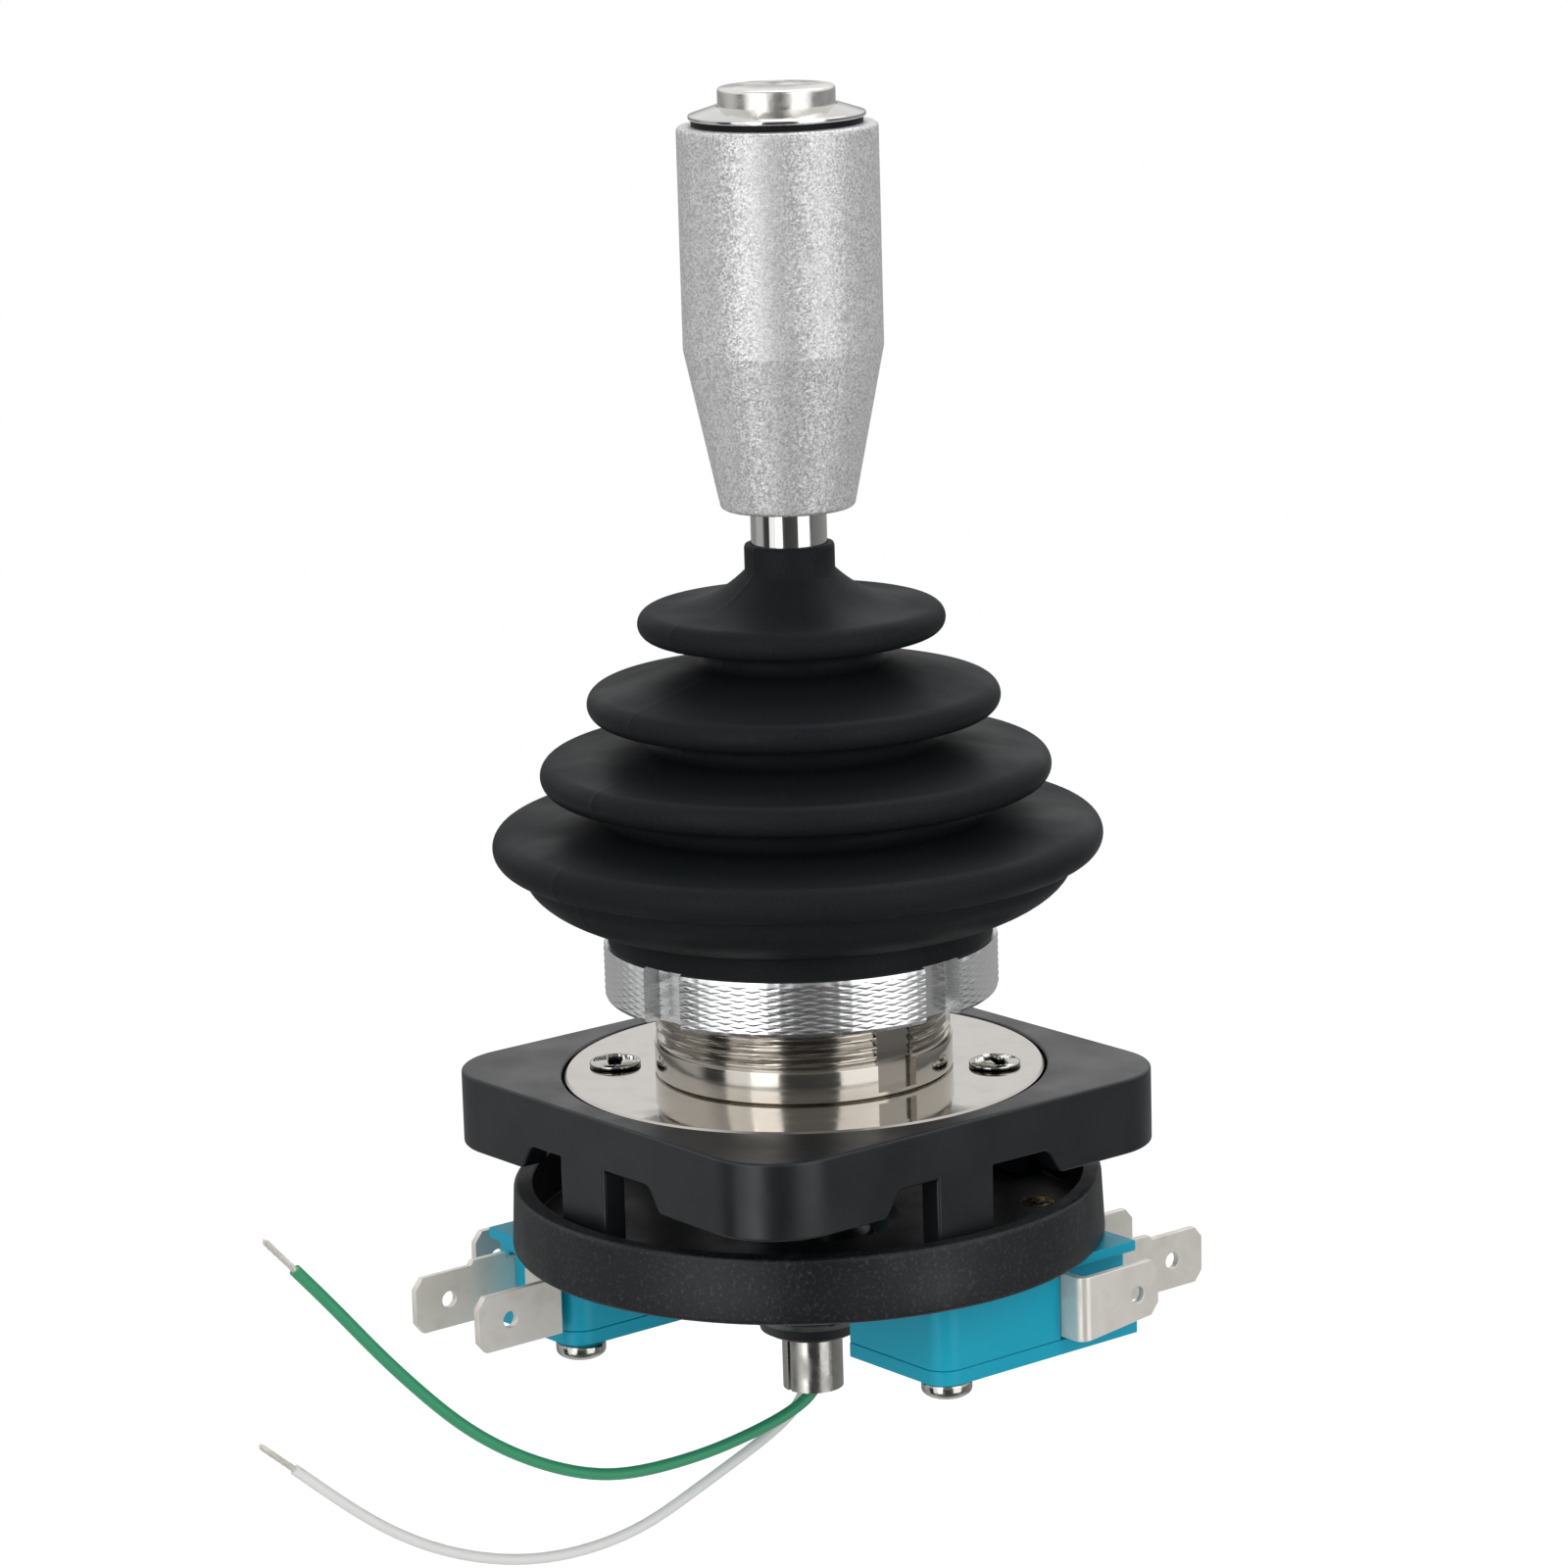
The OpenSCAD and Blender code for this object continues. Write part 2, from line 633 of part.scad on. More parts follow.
module switch_case() {
    wall_top = cup_z - case_wall;
    low = cover_z;
    color("darkturquoise")
    difference() {
        translate([0, 0, low]) linear_extrude(cup_z - low) case_outline();
        difference() {
            translate([case_gap + case_wall, case_y0 + case_wall, low - over])
                cube([case_w - 2 * case_wall, case_l - 2 * case_wall, wall_top - low + over]);
            for (p = [screw_a, screw_b])
                translate([p[0], p[1], 0]) disc(pillar_r, low - 2 * over, cup_z);
            translate([case_x1 - pocket_d - case_wall, com_y + tab_t, low - 2 * over])
                cube([pocket_d + case_wall, case_l, case_t]);
        }
        translate([case_x1 - pocket_d, com_y + tab_t + 0.2, low - over])
            cube([pocket_d + over, case_y1 - com_y - tab_t - 0.2 + over, wall_top - low + over]);
        translate([no_x - run_gap, com_y + tab_t, tab_top - tab_w - over])
            cube([tab_t + 2 * run_gap, case_l, tab_w + over + run_gap]);
        translate([nc_x - run_gap, case_y1 - 2 * case_wall, tab_top - tab_w - over])
            cube([tab_t + 2 * run_gap, 3 * case_wall, tab_w + over + run_gap]);
        translate([case_x1 - 2 * pocket_d, com_y - run_gap, low - over])
            cube([3 * pocket_d, tab_t + 0.2 + 2 * run_gap, wall_top - low + over]);
        translate([case_gap - over, -plunger_w / 2 - run_gap, case_mid_z - plunger_w / 2 - run_gap])
            cube([case_wall + 2 * over, plunger_w + 2 * run_gap, plunger_w + 2 * run_gap]);
        case_screw_holes(low - over, cup_z + over);
    }
}

module switch_cover() {
    color("darkturquoise")
    difference() {
        translate([0, 0, case_z]) linear_extrude(cover_t) case_outline();
        case_screw_holes(case_z - over, cover_z + over);
    }
}

// A plate that lies in a Y-Z plane at x, cut from an outline of [y, z] points
module plate_yz(x, t, outline) {
    translate([x, 0, 0]) rotate([90, 0, 90]) linear_extrude(t) polygon(outline);
}

// A plate that lies level at z, cut from an outline of [x, y] points
module plate_xy(z, t, outline) {
    translate([0, 0, z]) linear_extrude(t) polygon(outline);
}

// Outline of a push-on blade from y0 to y1 whose tip is narrowed and has its corners cut
function blade(y0, y1, z_top, w, tip = 0) = [
    [y0, z_top - w], [y1 - 1, z_top - w + tip], [y1, z_top - w + tip + 1.2], [y1, z_top - 1.2],
    [y1 - 1, z_top], [y0, z_top]
];

module tab_hole(x, y, z) {
    translate([x - over, y, z]) rotate([0, 90, 0]) cylinder(r = tab_hole_r, h = tab_t + 2 * over);
}

module com_terminal() {
    bend = 1.2;
    x1 = com_x + tab_t;
    y1 = com_y + com_l;
    top = cup_z - case_wall - 0.05;
    color("lightgray")
    difference() {
        intersection() {
            plate_xy(top - 8, 8, concat(
                [[blade_x + blade_t, com_y]], arc([x1 - bend, com_y + bend], bend, -90, 0, 6), [[x1, y1]],
                [[com_x, y1]], arc([x1 - bend, com_y + bend], bend - tab_t, 0, -90, 6),
                [[blade_x + blade_t, com_y + tab_t]]
            ));
            plate_yz(blade_x, x1 - blade_x, blade(com_y - over, y1, top, 7.2, 1.1));
        }
        tab_hole(com_x, y1 - 3, top - 3.4);
    }
}

module no_terminal() {
    y1 = case_y1 + no_l;
    color("lightgray")
    difference() {
        plate_yz(no_x, tab_t, [
            [case_y1 - 5, tab_top - 5], [case_y1 - 5, tab_top - 1], [case_y1 - 3, tab_top - 0.2],
            [case_y1 + 1, tab_top - 0.2], [case_y1 + 1, tab_top + 0.5], [case_y1 + 5.4, tab_top + 0.5],
            [case_y1 + 5.8, tab_top], [y1 - 1, tab_top], [y1, tab_top - 1.2], [y1, tab_top - tab_w + 1.2],
            [y1 - 1, tab_top - tab_w], [case_y1 - 3, tab_top - tab_w], [case_y1 - 3, tab_top - tab_w + 1.2]
        ]);
        tab_hole(no_x, y1 - 4.4, case_mid_z);
    }
    color("gold")
    translate([no_x - contact_t, contact_y, contact_z]) rotate([0, 90, 0]) cylinder(r = 1.3, h = contact_t);
}

module nc_terminal() {
    y1 = case_y1 + nc_l;
    turn_y = case_y1 + 1.2;
    color("lightgray")
    difference() {
        intersection() {
            plate_xy(tab_top - tab_w - over, tab_w + 2 * over, [
                [nc_x, case_y1 - 5], [nc_x + tab_t, case_y1 - 5], [nc_x + tab_t, turn_y + tab_t],
                [nc_out_x + tab_t, turn_y + tab_t], [nc_out_x + tab_t, y1], [nc_out_x, y1], [nc_out_x, turn_y],
                [nc_x, turn_y]
            ]);
            plate_yz(nc_out_x - over, nc_x - nc_out_x + 3 * over, blade(case_y1 - 6, y1, tab_top, tab_w));
        }
        tab_hole(nc_out_x, y1 - 4.2, case_mid_z);
    }
    color("gold")
    translate([nc_x + tab_t, contact_y, contact_z]) rotate([0, 90, 0]) cylinder(r = 1.3, h = contact_t);
}

// The snap spring, fixed to the common terminal, with the moving contact at its end
module snap_blade() {
    z0 = case_mid_z - 1.5;
    color("goldenrod")
    difference() {
        union() {
            translate([blade_x, -1.6, z0]) cube([blade_t, contact_y + 1.2 + 1.6, 3.4]);
            translate([contact_x, contact_y, contact_z]) rotate([0, 90, 0]) cylinder(r = 1.2, h = contact_l);
        }
        translate([blade_x - over, 2, case_mid_z - 0.6]) cube([3 * over, com_y - 4, 1.6]);
    }
}

// The plunger has a round nose and a shoulder that keeps it in the case
module plunger() {
    tip = case_gap - plunger_out;
    w = plunger_w / 2;
    back = blade_x - plunger_travel - 0.1;
    shoulder = case_gap + case_wall + 0.1;
    color("ivory") {
        translate([0, 0, case_mid_z - w]) linear_extrude(plunger_w)
            polygon(concat(arc([tip + 1.6, 0], 1.6, 250, 110, 10), [[shoulder, w], [back, w], [back, -w], [shoulder, -w]]));
        translate([shoulder, -w - 0.8, case_mid_z - w - 0.6]) cube([0.9, plunger_w + 1.6, plunger_w + 1.2]);
    }
}

module switch_screws() {
    color("silver")
    at_switch_screws()
        translate([0, 0, case_z]) mirror([0, 0, 1])
            difference() {
                rotate_extrude()
                    polygon(concat(
                        [[0, -case_t - cup_wall + 0.1], [screw_r, -case_t - cup_wall + 0.1], [screw_r, 0],
                         [screw_head_r, 0], [screw_head_r, screw_head_h * 0.45]],
                        [for (a = [20:14:90]) [screw_head_r * cos(a), screw_head_h * (0.45 + 0.55 * sin(a))]]
                    ));
                translate([0, 0, screw_head_h]) rotate([0, 0, 35]) cross_recess(3, 0.7, 1.1);
            }
}

// Lever

module pivot_hub() {
    color("dimgray")
    difference() {
        rotate_extrude()
            polygon([
                [hub_bore_r, hub_end + socket_d], [tube_r, hub_end + socket_d], [tube_r, hub_end],
                [hub_r - 0.6, hub_end], [hub_r, hub_end + 0.6], [hub_r, hub_top - 0.6], [hub_r - 0.6, hub_top],
                [rod_r, hub_top], [rod_r, hub_top - socket_d], [hub_bore_r, hub_top - socket_d]
            ]);
        for (s = [-1, 1])
            translate([0, s * 3.2, pivot_z]) rotate([-90 * s, 0, 0]) cylinder(r = trunnion_r + run_gap, h = hub_r);
    }
}

module lever_rod() {
    color("silver")
    rotate_extrude()
        polygon([
            [rod_bore_r, hub_top - socket_d], [rod_r, hub_top - socket_d], [rod_r, rod_top - 0.5],
            [rod_r - 0.5, rod_top], [rod_bore_r, rod_top]
        ]);
}

module spring_retainer() {
    color("gray")
    difference() {
        ring(retainer_r, rod_r, retainer_z, retainer_z + retainer_t);
        translate([0, -retainer_slot_w / 2, retainer_z - over])
            cube([retainer_r + over, retainer_slot_w, retainer_t + 2 * over]);
    }
}

module spring_seat() {
    color("gray") ring(collar_bore_r - 0.2, rod_r + 1.6, seat_z, seat_z + seat_t);
}

module centring_spring() {
    color("slategray") coil(spring_low_r, spring_top_r, spring_wire_r, seat_z + seat_t, retainer_z, 7);
}

module lower_tube() {
    color("silver")
    difference() {
        ring(tube_r, tube_r - tube_wall, -tube_end, hub_end + socket_d);
        translate([-seam_w / 2, -tube_r - over, -tube_end - over])
            cube([seam_w, tube_wall + 1.5 * over, tube_end + hub_end + over]);
    }
}

module actuator_cam() {
    low_r = tube_r + 1.4;
    color("black")
    difference() {
        rotate_extrude()
            polygon([
                [tube_r, -cam_end], [low_r, -cam_end], [low_r + 0.9, -cam_end + 0.5], [low_r + 1.2, -cam_end + 1.6],
                [cam_r - 0.5, -cam_end + 2.4], [cam_r, -cam_end + 3.4], [cam_r, cup_z - 0.2],
                [cam_r - 0.5, cup_z + 0.6], [tube_r + 2, cup_z + 1.6], [tube_r + 2, hub_end], [tube_r, hub_end]
            ]);
        for (i = [0:cam_flutes - 1])
            rotate([0, 0, 360 * (i + 0.5) / cam_flutes])
                translate([cam_r + cam_flute_r / 3, 0, 0]) disc(cam_flute_r, -cam_end - over, cup_z + 0.2);
    }
}

// Grip

module grip() {
    taper_z = grip_at + grip_taper_l;
    slope = (grip_r - grip_end_r) / (grip_taper_l - grip_round);
    color("lightgray")
    rotate_extrude()
        polygon(concat(
            [[rod_r, grip_at], [grip_end_r - grip_round, grip_at]],
            arc([grip_end_r - grip_round, grip_at + grip_round], grip_round, -90, -atan(slope), 4),
            [[grip_r, taper_z]],
            arc([grip_r - grip_round, grip_top - grip_round], grip_round, 0, 90, 4),
            [[barrel_r + fit_gap, grip_top], [barrel_r + fit_gap, barrel_end - 0.3], [barrel_r - 2, barrel_end - 2],
             [barrel_r - 2, rod_top], [rod_r, rod_top]]
        ));
}

// Thumb button

module button_bezel() {
    lip_r = cap_r + 0.2;
    guide = cap_r + 0.08;
    room = barrel_r - barrel_wall;
    color("silver")
    rotate_extrude()
        polygon([
            [guide, bezel_lip_z], [lip_r + 0.2, bezel_lip_z], [bezel_r, gasket_top + bezel_edge],
            [bezel_r, gasket_top + 0.15], [bezel_r - 0.15, gasket_top], [barrel_r, gasket_top],
            [barrel_r, barrel_end], [room, barrel_end], [room, bezel_lip_z - cap_guide_l],
            [guide, bezel_lip_z - cap_guide_l]
        ]);
}

module button_gasket() {
    color("black") ring(gasket_r, barrel_r, grip_top, gasket_top);
}

module button_cap() {
    flange_top = bezel_lip_z - cap_guide_l - 0.1;
    wall = 0.9;
    color("silver")
    rotate_extrude()
        polygon(concat(
            [[0, cap_top - 1], [cap_r - wall, cap_top - 1], [cap_r - wall, flange_top - 1.2],
             [cap_flange_r, flange_top - 1.2], [cap_flange_r, flange_top], [cap_r, flange_top]],
            arc([cap_r - 0.4, cap_top - 0.4], 0.4, 0, 90, 4),
            [[0, cap_top]]
        ));
}

module button_contacts() {
    r = barrel_r - barrel_wall - fit_gap;
    color("ivory")
    difference() {
        disc(r, barrel_end - 1, barrel_end + block_t);
        for (s = [-1, 1])
            translate([s * pin_x, 0, 0]) disc(0.6, barrel_end - 2 * over, barrel_end + block_t + over);
    }
}

module button_pins() {
    color("goldenrod")
    for (s = [-1, 1])
        translate([s * pin_x, 0, 0]) {
            disc(0.6, pin_end, barrel_end + block_t + 0.4);
            disc(1.1, barrel_end + block_t + 0.02, barrel_end + block_t + 0.6);
        }
}

module button_spring() {
    color("slategray") coil(4.4, 4.4, 0.35, barrel_end + block_t, cap_top - 1, 8, 12, 6);
}

// Leads

// The stretch of a lead inside rod and tube, from its solder pin down to where the free tail starts
module inner_lead(s, r) {
    x = s * lead_pitch / 2;
    knee = [[x, 0, lead_knee_z - 2], [x, 0, lead_knee_z], [s * pin_x, 0, pin_end - 1.2], [s * pin_x, 0, pin_end]];
    sweep(concat([[x, 0, lead_join_z]], spline(knee, lead_steps)), r, lead_sides);
}

module inner_lead_green() color("seagreen") inner_lead(1, green_r);
module inner_lead_white() color("whitesmoke") inner_lead(-1, white_r);

module lead_green() color("seagreen") sweep(spline(green_path, lead_steps), green_r, lead_sides);
module lead_white() color("whitesmoke") sweep(spline(white_path, lead_steps), white_r, lead_sides);

// Bellows

// The outside of the rubber for w = 0, and its inside for w = rubber_t, from the neck down to the last valley
function fold_points(w) = concat(
    [for (i = [0:8])
        let (t = i / 8, r = neck_r + (fold_r[0] - fold_h[0] - neck_r) * t,
             top = fold_z[0] + fold_h[0], z = top + (neck_top - neck_h - top) * pow(1 - t, 2.5))
        [r - (i == 0 ? neck_r - rod_r - run_gap : w * 0.6) * (w > 0 ? 1 : 0), z - w * (t > 0 ? 0.85 : 0)]],
    [for (k = [0:3])
        for (p = concat(
            arc([fold_r[k] - fold_h[k], fold_z[k]], fold_h[k] - w, 78, -84, 10),
            k < 3 ? arc([valley_r[k] + 1.2, fold_z[k] - fold_h[k] - 1.7], 1.2 + w, 94, 258, 8) : []
        )) p]
);

module bellows() {
    bowl_top = fold_z[3] - fold_h[3] - 1.3;
    bowl_r = fold_r[3] - fold_h[3] - 1.4;
    lip_r = nut_r - nut_chamfer - 0.05;
    low_r = lip_r + 0.4;
    low_z = nut_top + lip_h;
    drop = bowl_top - low_z;
    outer = concat(
        [[neck_r - 0.4, neck_top], [neck_r, neck_top - 0.4]], fold_points(0),
        [[bowl_r + 0.2, bowl_top + 1], [bowl_r, bowl_top]],
        [for (a = [10:10:80])
            [low_r + (bowl_r - low_r) * pow(cos(a), bowl_bend), bowl_top - drop * pow(sin(a), bowl_bend)]],
        [[low_r, low_z + 0.1], [lip_r - 0.2, low_z], [lip_r - 0.2, low_z - 0.25], [lip_r, low_z - 0.35],
         [lip_r, nut_top]]
    );
    inner = concat(
        [[rod_r + run_gap, neck_top]], fold_points(rubber_t),
        [[bowl_r + 0.2 - rubber_t, bowl_top + 1], [bowl_r - rubber_t, bowl_top + 0.5]],
        [for (a = [20:20:80])
            [lip_r - rubber_t + (bowl_r - low_r) * pow(cos(a), bowl_bend),
             bowl_top + 0.9 - drop * pow(sin(a), bowl_bend)]],
        [[lip_r - rubber_t, low_z], [lip_r - rubber_t, nut_top + lip_t],
         [groove_r + fit_gap, nut_top + lip_t - 0.05], [groove_r + fit_gap, nut_top]]
    );
    color([0.1, 0.1, 0.11])
    rotate_extrude() polygon(concat(outer, [for (i = [len(inner) - 1:-1:0]) inner[i]]));
}

button_cap();
button_spring();
button_bezel();
button_gasket();
button_contacts();
button_pins();
grip();
lever_rod();
spring_retainer();
pivot_hub();
actuator_cam();
lower_tube();
inner_lead_green();
inner_lead_white();
lead_green();
lead_white();
bellows();
ring_nut();
threaded_collar();
centring_spring();
spring_seat();
pivot_housing();
trunnions();
seat_disc();
disc_screws();
mounting_plate();
switch_cup();
cup_screws();
cup_inserts();
switch_case();  // switch_case_right
rotate([0, 0, 180]) switch_case();  // switch_case_left
switch_cover();  // switch_cover_right
rotate([0, 0, 180]) switch_cover();  // switch_cover_left
com_terminal();  // com_terminal_right
rotate([0, 0, 180]) com_terminal();  // com_terminal_left
no_terminal();  // no_terminal_right
rotate([0, 0, 180]) no_terminal();  // no_terminal_left
nc_terminal();  // nc_terminal_right
rotate([0, 0, 180]) nc_terminal();  // nc_terminal_left
snap_blade();  // snap_blade_right
rotate([0, 0, 180]) snap_blade();  // snap_blade_left
switch_screws();
plunger();  // plunger_right
rotate([0, 0, 180]) plunger();  // plunger_left
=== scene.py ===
"""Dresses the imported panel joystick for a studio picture.

The sizes in the classes below are in millimetres.
"""

import logging
import math
from dataclasses import dataclass
from enum import Enum
from typing import Callable, NamedTuple, Sequence

import bmesh
import bpy
from mathutils import Matrix, Vector


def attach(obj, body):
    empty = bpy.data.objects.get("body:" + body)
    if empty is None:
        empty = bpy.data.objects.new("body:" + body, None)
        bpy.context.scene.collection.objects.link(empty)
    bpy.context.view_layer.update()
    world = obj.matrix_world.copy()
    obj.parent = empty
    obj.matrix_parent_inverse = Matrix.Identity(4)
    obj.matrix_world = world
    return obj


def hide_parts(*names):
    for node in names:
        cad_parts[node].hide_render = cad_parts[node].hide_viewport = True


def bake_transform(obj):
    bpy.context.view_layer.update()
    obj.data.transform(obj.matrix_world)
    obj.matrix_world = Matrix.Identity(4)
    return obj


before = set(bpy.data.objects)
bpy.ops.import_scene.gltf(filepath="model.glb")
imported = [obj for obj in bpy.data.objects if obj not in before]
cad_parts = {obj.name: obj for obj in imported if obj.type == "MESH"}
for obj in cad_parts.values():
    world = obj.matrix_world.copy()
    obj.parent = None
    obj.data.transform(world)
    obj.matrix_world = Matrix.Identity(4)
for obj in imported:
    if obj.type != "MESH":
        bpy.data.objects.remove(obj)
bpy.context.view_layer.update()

LOG = logging.getLogger("joystick")
MM = 0.001
Point = tuple[float, float, float]
Span = tuple[float, float]
Colour = tuple[float, float, float, float]
# Points of a piece made here, or of a CAD node, that lie closer than this are one point, in metres
WELD = 1e-7
CAD_WELD = 1e-6
# Faces that bend by less than FLAT are one flat face, and edges that bend by more than CREASE are sharp
FLAT = math.radians(0.5)
CREASE = math.radians(40)
# The steps across a rounded edge, and the fewest corners of a face that is split into triangles
EDGE_STEPS = 3
SPLIT_FROM = 5
# The gap between two rows of points that make one step, in millimetres, and between two columns, in radians
HAIR = 1e-3
HAIR_ANGLE = 1e-4


class Body(Enum):
    """The moving bodies that pieces of this scene ride on."""

    BASE = "base"
    LEVER = "lever"
    BUTTON = "button"


class Side(Enum):
    """The two sides of the lever that carry a snap switch."""

    RIGHT = "right"
    LEFT = "left"


class Spot(NamedTuple):
    """A point of a turned surface: its angle in radians, its radius and its height."""

    angle: float
    radius: float
    height: float


def linear(hex_colour: str) -> Colour:
    """Turn an sRGB colour into the linear colour that the shaders take.

    Args:
        hex_colour: The colour as six hex digits after a hash sign.

    Returns:
        Red, green and blue, each from 0 to 1, and an alpha of 1.
    """
    channels = [int(hex_colour[i:i + 2], 16) / 255 for i in (1, 3, 5)]
    red, green, blue = [c / 12.92 if c <= 0.04045 else ((c + 0.055) / 1.055) ** 2.4 for c in channels]
    return red, green, blue, 1.0


def grey(value: float) -> Colour:
    """Give the linear grey of a brightness from 0 to 1."""
    return value, value, value, 1.0


def add_node(
    tree: bpy.types.NodeTree, kind: str, inputs: dict | None = None, **settings: object
) -> bpy.types.Node:
    """Add a shader node with its settings, values and links.

    Args:
        tree: The node tree that takes the node.
        kind: Blender's name of the node type.
        inputs: A value, or an output to link, for each input's name or number.
        **settings: Values of the node's own properties.

    Returns:
        The new node.
    """
    node = tree.nodes.new(kind)
    for name, value in settings.items():
        setattr(node, name, value)
    for key, value in (inputs or {}).items():
        if isinstance(value, bpy.types.NodeSocket):
            tree.links.new(value, node.inputs[key])
        else:
            node.inputs[key].default_value = value
    return node


def empty_tree(owner: bpy.types.Material | bpy.types.World) -> bpy.types.NodeTree:
    """Give the node tree of a material or world with nothing in it.

    Args:
        owner: The material or world.

    Returns:
        Its tree.
    """
    owner.use_nodes = True
    owner.node_tree.nodes.clear()
    return owner.node_tree


@dataclass(frozen=True)
class Finish:
    """What a piece is made of and how its surface was made.

    A subclass adds the pattern that the process leaves. Pattern sizes are in millimetres.
    """

    name: str
    slot: str
    colour: str
    roughness: float
    metallic: float = 0.0
    specular: float = 0.5

    def material(self) -> bpy.types.Material:
        """Give this finish's material, and make it on first use.

        Returns:
            The material with its node tree.
        """
        found = bpy.data.materials.get(self.name)
        if found:
            return found
        material = bpy.data.materials.new(self.name)
        tree = empty_tree(material)
        shader = add_node(tree, "ShaderNodeBsdfPrincipled", {
            "Base Color": linear(self.colour), "Metallic": self.metallic, "Roughness": self.roughness,
            "Specular IOR Level": self.specular})
        self.pattern(tree, shader)
        add_node(tree, "ShaderNodeOutputMaterial", {"Surface": shader.outputs[0]})
        return material

    def pattern(self, tree: bpy.types.NodeTree, shader: bpy.types.Node) -> None:
        """Add what the process leaves on the surface; the plain finish adds nothing."""


@dataclass(frozen=True)
class Plated(Finish):
    """Electroplated metal: a mirror whose haze and fine waviness change from place to place."""

    haze: float = 3.0
    haze_share: float = 0.6
    haze_span: Span = (0.35, 0.7)
    wave: float = 1.2
    wave_depth: float = 0.002
    tarnish: str = "#9a9389"
    tarnish_share: float = 0.15
    tarnish_span: Span = (0.5, 0.8)

    def pattern(self, tree: bpy.types.NodeTree, shader: bpy.types.Node) -> None:
        """Add haze in the gloss, a faint tarnish in the colour and the waviness of polishing.

        Args:
            tree: The material's node tree.
            shader: The surface shader that takes the pattern.
        """
        place = add_node(tree, "ShaderNodeTexCoord").outputs["Object"]
        cloud = add_node(tree, "ShaderNodeTexNoise", {
            "Vector": place, "Scale": 1 / (self.haze * MM), "Detail": 4.0})
        gloss = add_node(tree, "ShaderNodeMapRange", {
            "Value": cloud.outputs[0], "From Min": self.haze_span[0], "From Max": self.haze_span[1],
            "To Min": self.roughness * (1 - self.haze_share),
            "To Max": self.roughness * (1 + self.haze_share)})
        tree.links.new(gloss.outputs[0], shader.inputs["Roughness"])
        share = add_node(tree, "ShaderNodeMapRange", {
            "Value": cloud.outputs[0], "From Min": self.tarnish_span[0], "From Max": self.tarnish_span[1],
            "To Max": self.tarnish_share})
        tint = add_node(tree, "ShaderNodeMix", {
            0: share.outputs[0], 6: linear(self.colour), 7: linear(self.tarnish)}, data_type="RGBA")
        tree.links.new(tint.outputs[2], shader.inputs["Base Color"])
        wave = add_node(tree, "ShaderNodeTexNoise", {
            "Vector": place, "Scale": 1 / (self.wave * MM), "Detail": 2.0})
        bump = add_node(tree, "ShaderNodeBump", {
            "Height": wave.outputs[0], "Distance": self.wave_depth * MM})
        tree.links.new(bump.outputs[0], shader.inputs["Normal"])


@dataclass(frozen=True)
class PlatedScrew(Plated):
    """A plated screw head, with painted shade that darkens its recess and the edge round it.

    The painted shade fades out between two heights above the face that the head sits on.
    """

    painted_shade: str = "#2b2927"
    painted_shade_z: Span = (0.25, 0.4)

    def pattern(self, tree: bpy.types.NodeTree, shader: bpy.types.Node) -> None:
        """Add the plating's pattern, and the painted shade up to its height.

        Args:
            tree: The material's node tree.
            shader: The surface shader that takes the pattern.
        """
        super().pattern(tree, shader)
        plating = shader.inputs["Base Color"].links[0].from_socket
        place = add_node(tree, "ShaderNodeTexCoord").outputs["Object"]
        axes = add_node(tree, "ShaderNodeSeparateXYZ", {0: place})
        # Painted shade: dark colour below a height, in the cross recess and round the head's side
        above_shade = add_node(tree, "ShaderNodeMapRange", {
            "Value": axes.outputs[2], "From Min": self.painted_shade_z[0] * MM, "From Max": self.painted_shade_z[1] * MM})
        tint = add_node(tree, "ShaderNodeMix", {
            0: above_shade.outputs[0], 6: linear(self.painted_shade), 7: plating}, data_type="RGBA")
        tree.links.new(tint.outputs[2], shader.inputs["Base Color"])


@dataclass(frozen=True)
class Turned(Finish):
    """Metal cut on a lathe: fine rings round the Z axis, each a little brighter or duller."""

    ring: float = 0.25
    ring_depth: float = 0.003
    ring_stretch: float = 50.0
    ring_span: Span = (0.3, 0.7)
    gloss_share: Span = (0.6, 1.5)

    def pattern(self, tree: bpy.types.NodeTree, shader: bpy.types.Node) -> None:
        """Add the tool's rings to the gloss and the normal.

        Args:
            tree: The material's node tree.
            shader: The surface shader that takes the pattern.
        """
        place = add_node(tree, "ShaderNodeTexCoord").outputs["Object"]
        upright = 1 / (self.ring * MM)
        level = upright / self.ring_stretch
        stretch = add_node(tree, "ShaderNodeMapping", {"Vector": place, "Scale": (level, level, upright)})
        rings = add_node(tree, "ShaderNodeTexNoise", {
            "Vector": stretch.outputs[0], "Scale": 1.0, "Detail": 3.0})
        smooth, rough = (self.roughness * share for share in self.gloss_share)
        gloss = add_node(tree, "ShaderNodeMapRange", {
            "Value": rings.outputs[0], "From Min": self.ring_span[0], "From Max": self.ring_span[1],
            "To Min": smooth, "To Max": rough})
        tree.links.new(gloss.outputs[0], shader.inputs["Roughness"])
        bump = add_node(tree, "ShaderNodeBump", {
            "Height": rings.outputs[0], "Distance": self.ring_depth * MM})
        tree.links.new(bump.outputs[0], shader.inputs["Normal"])


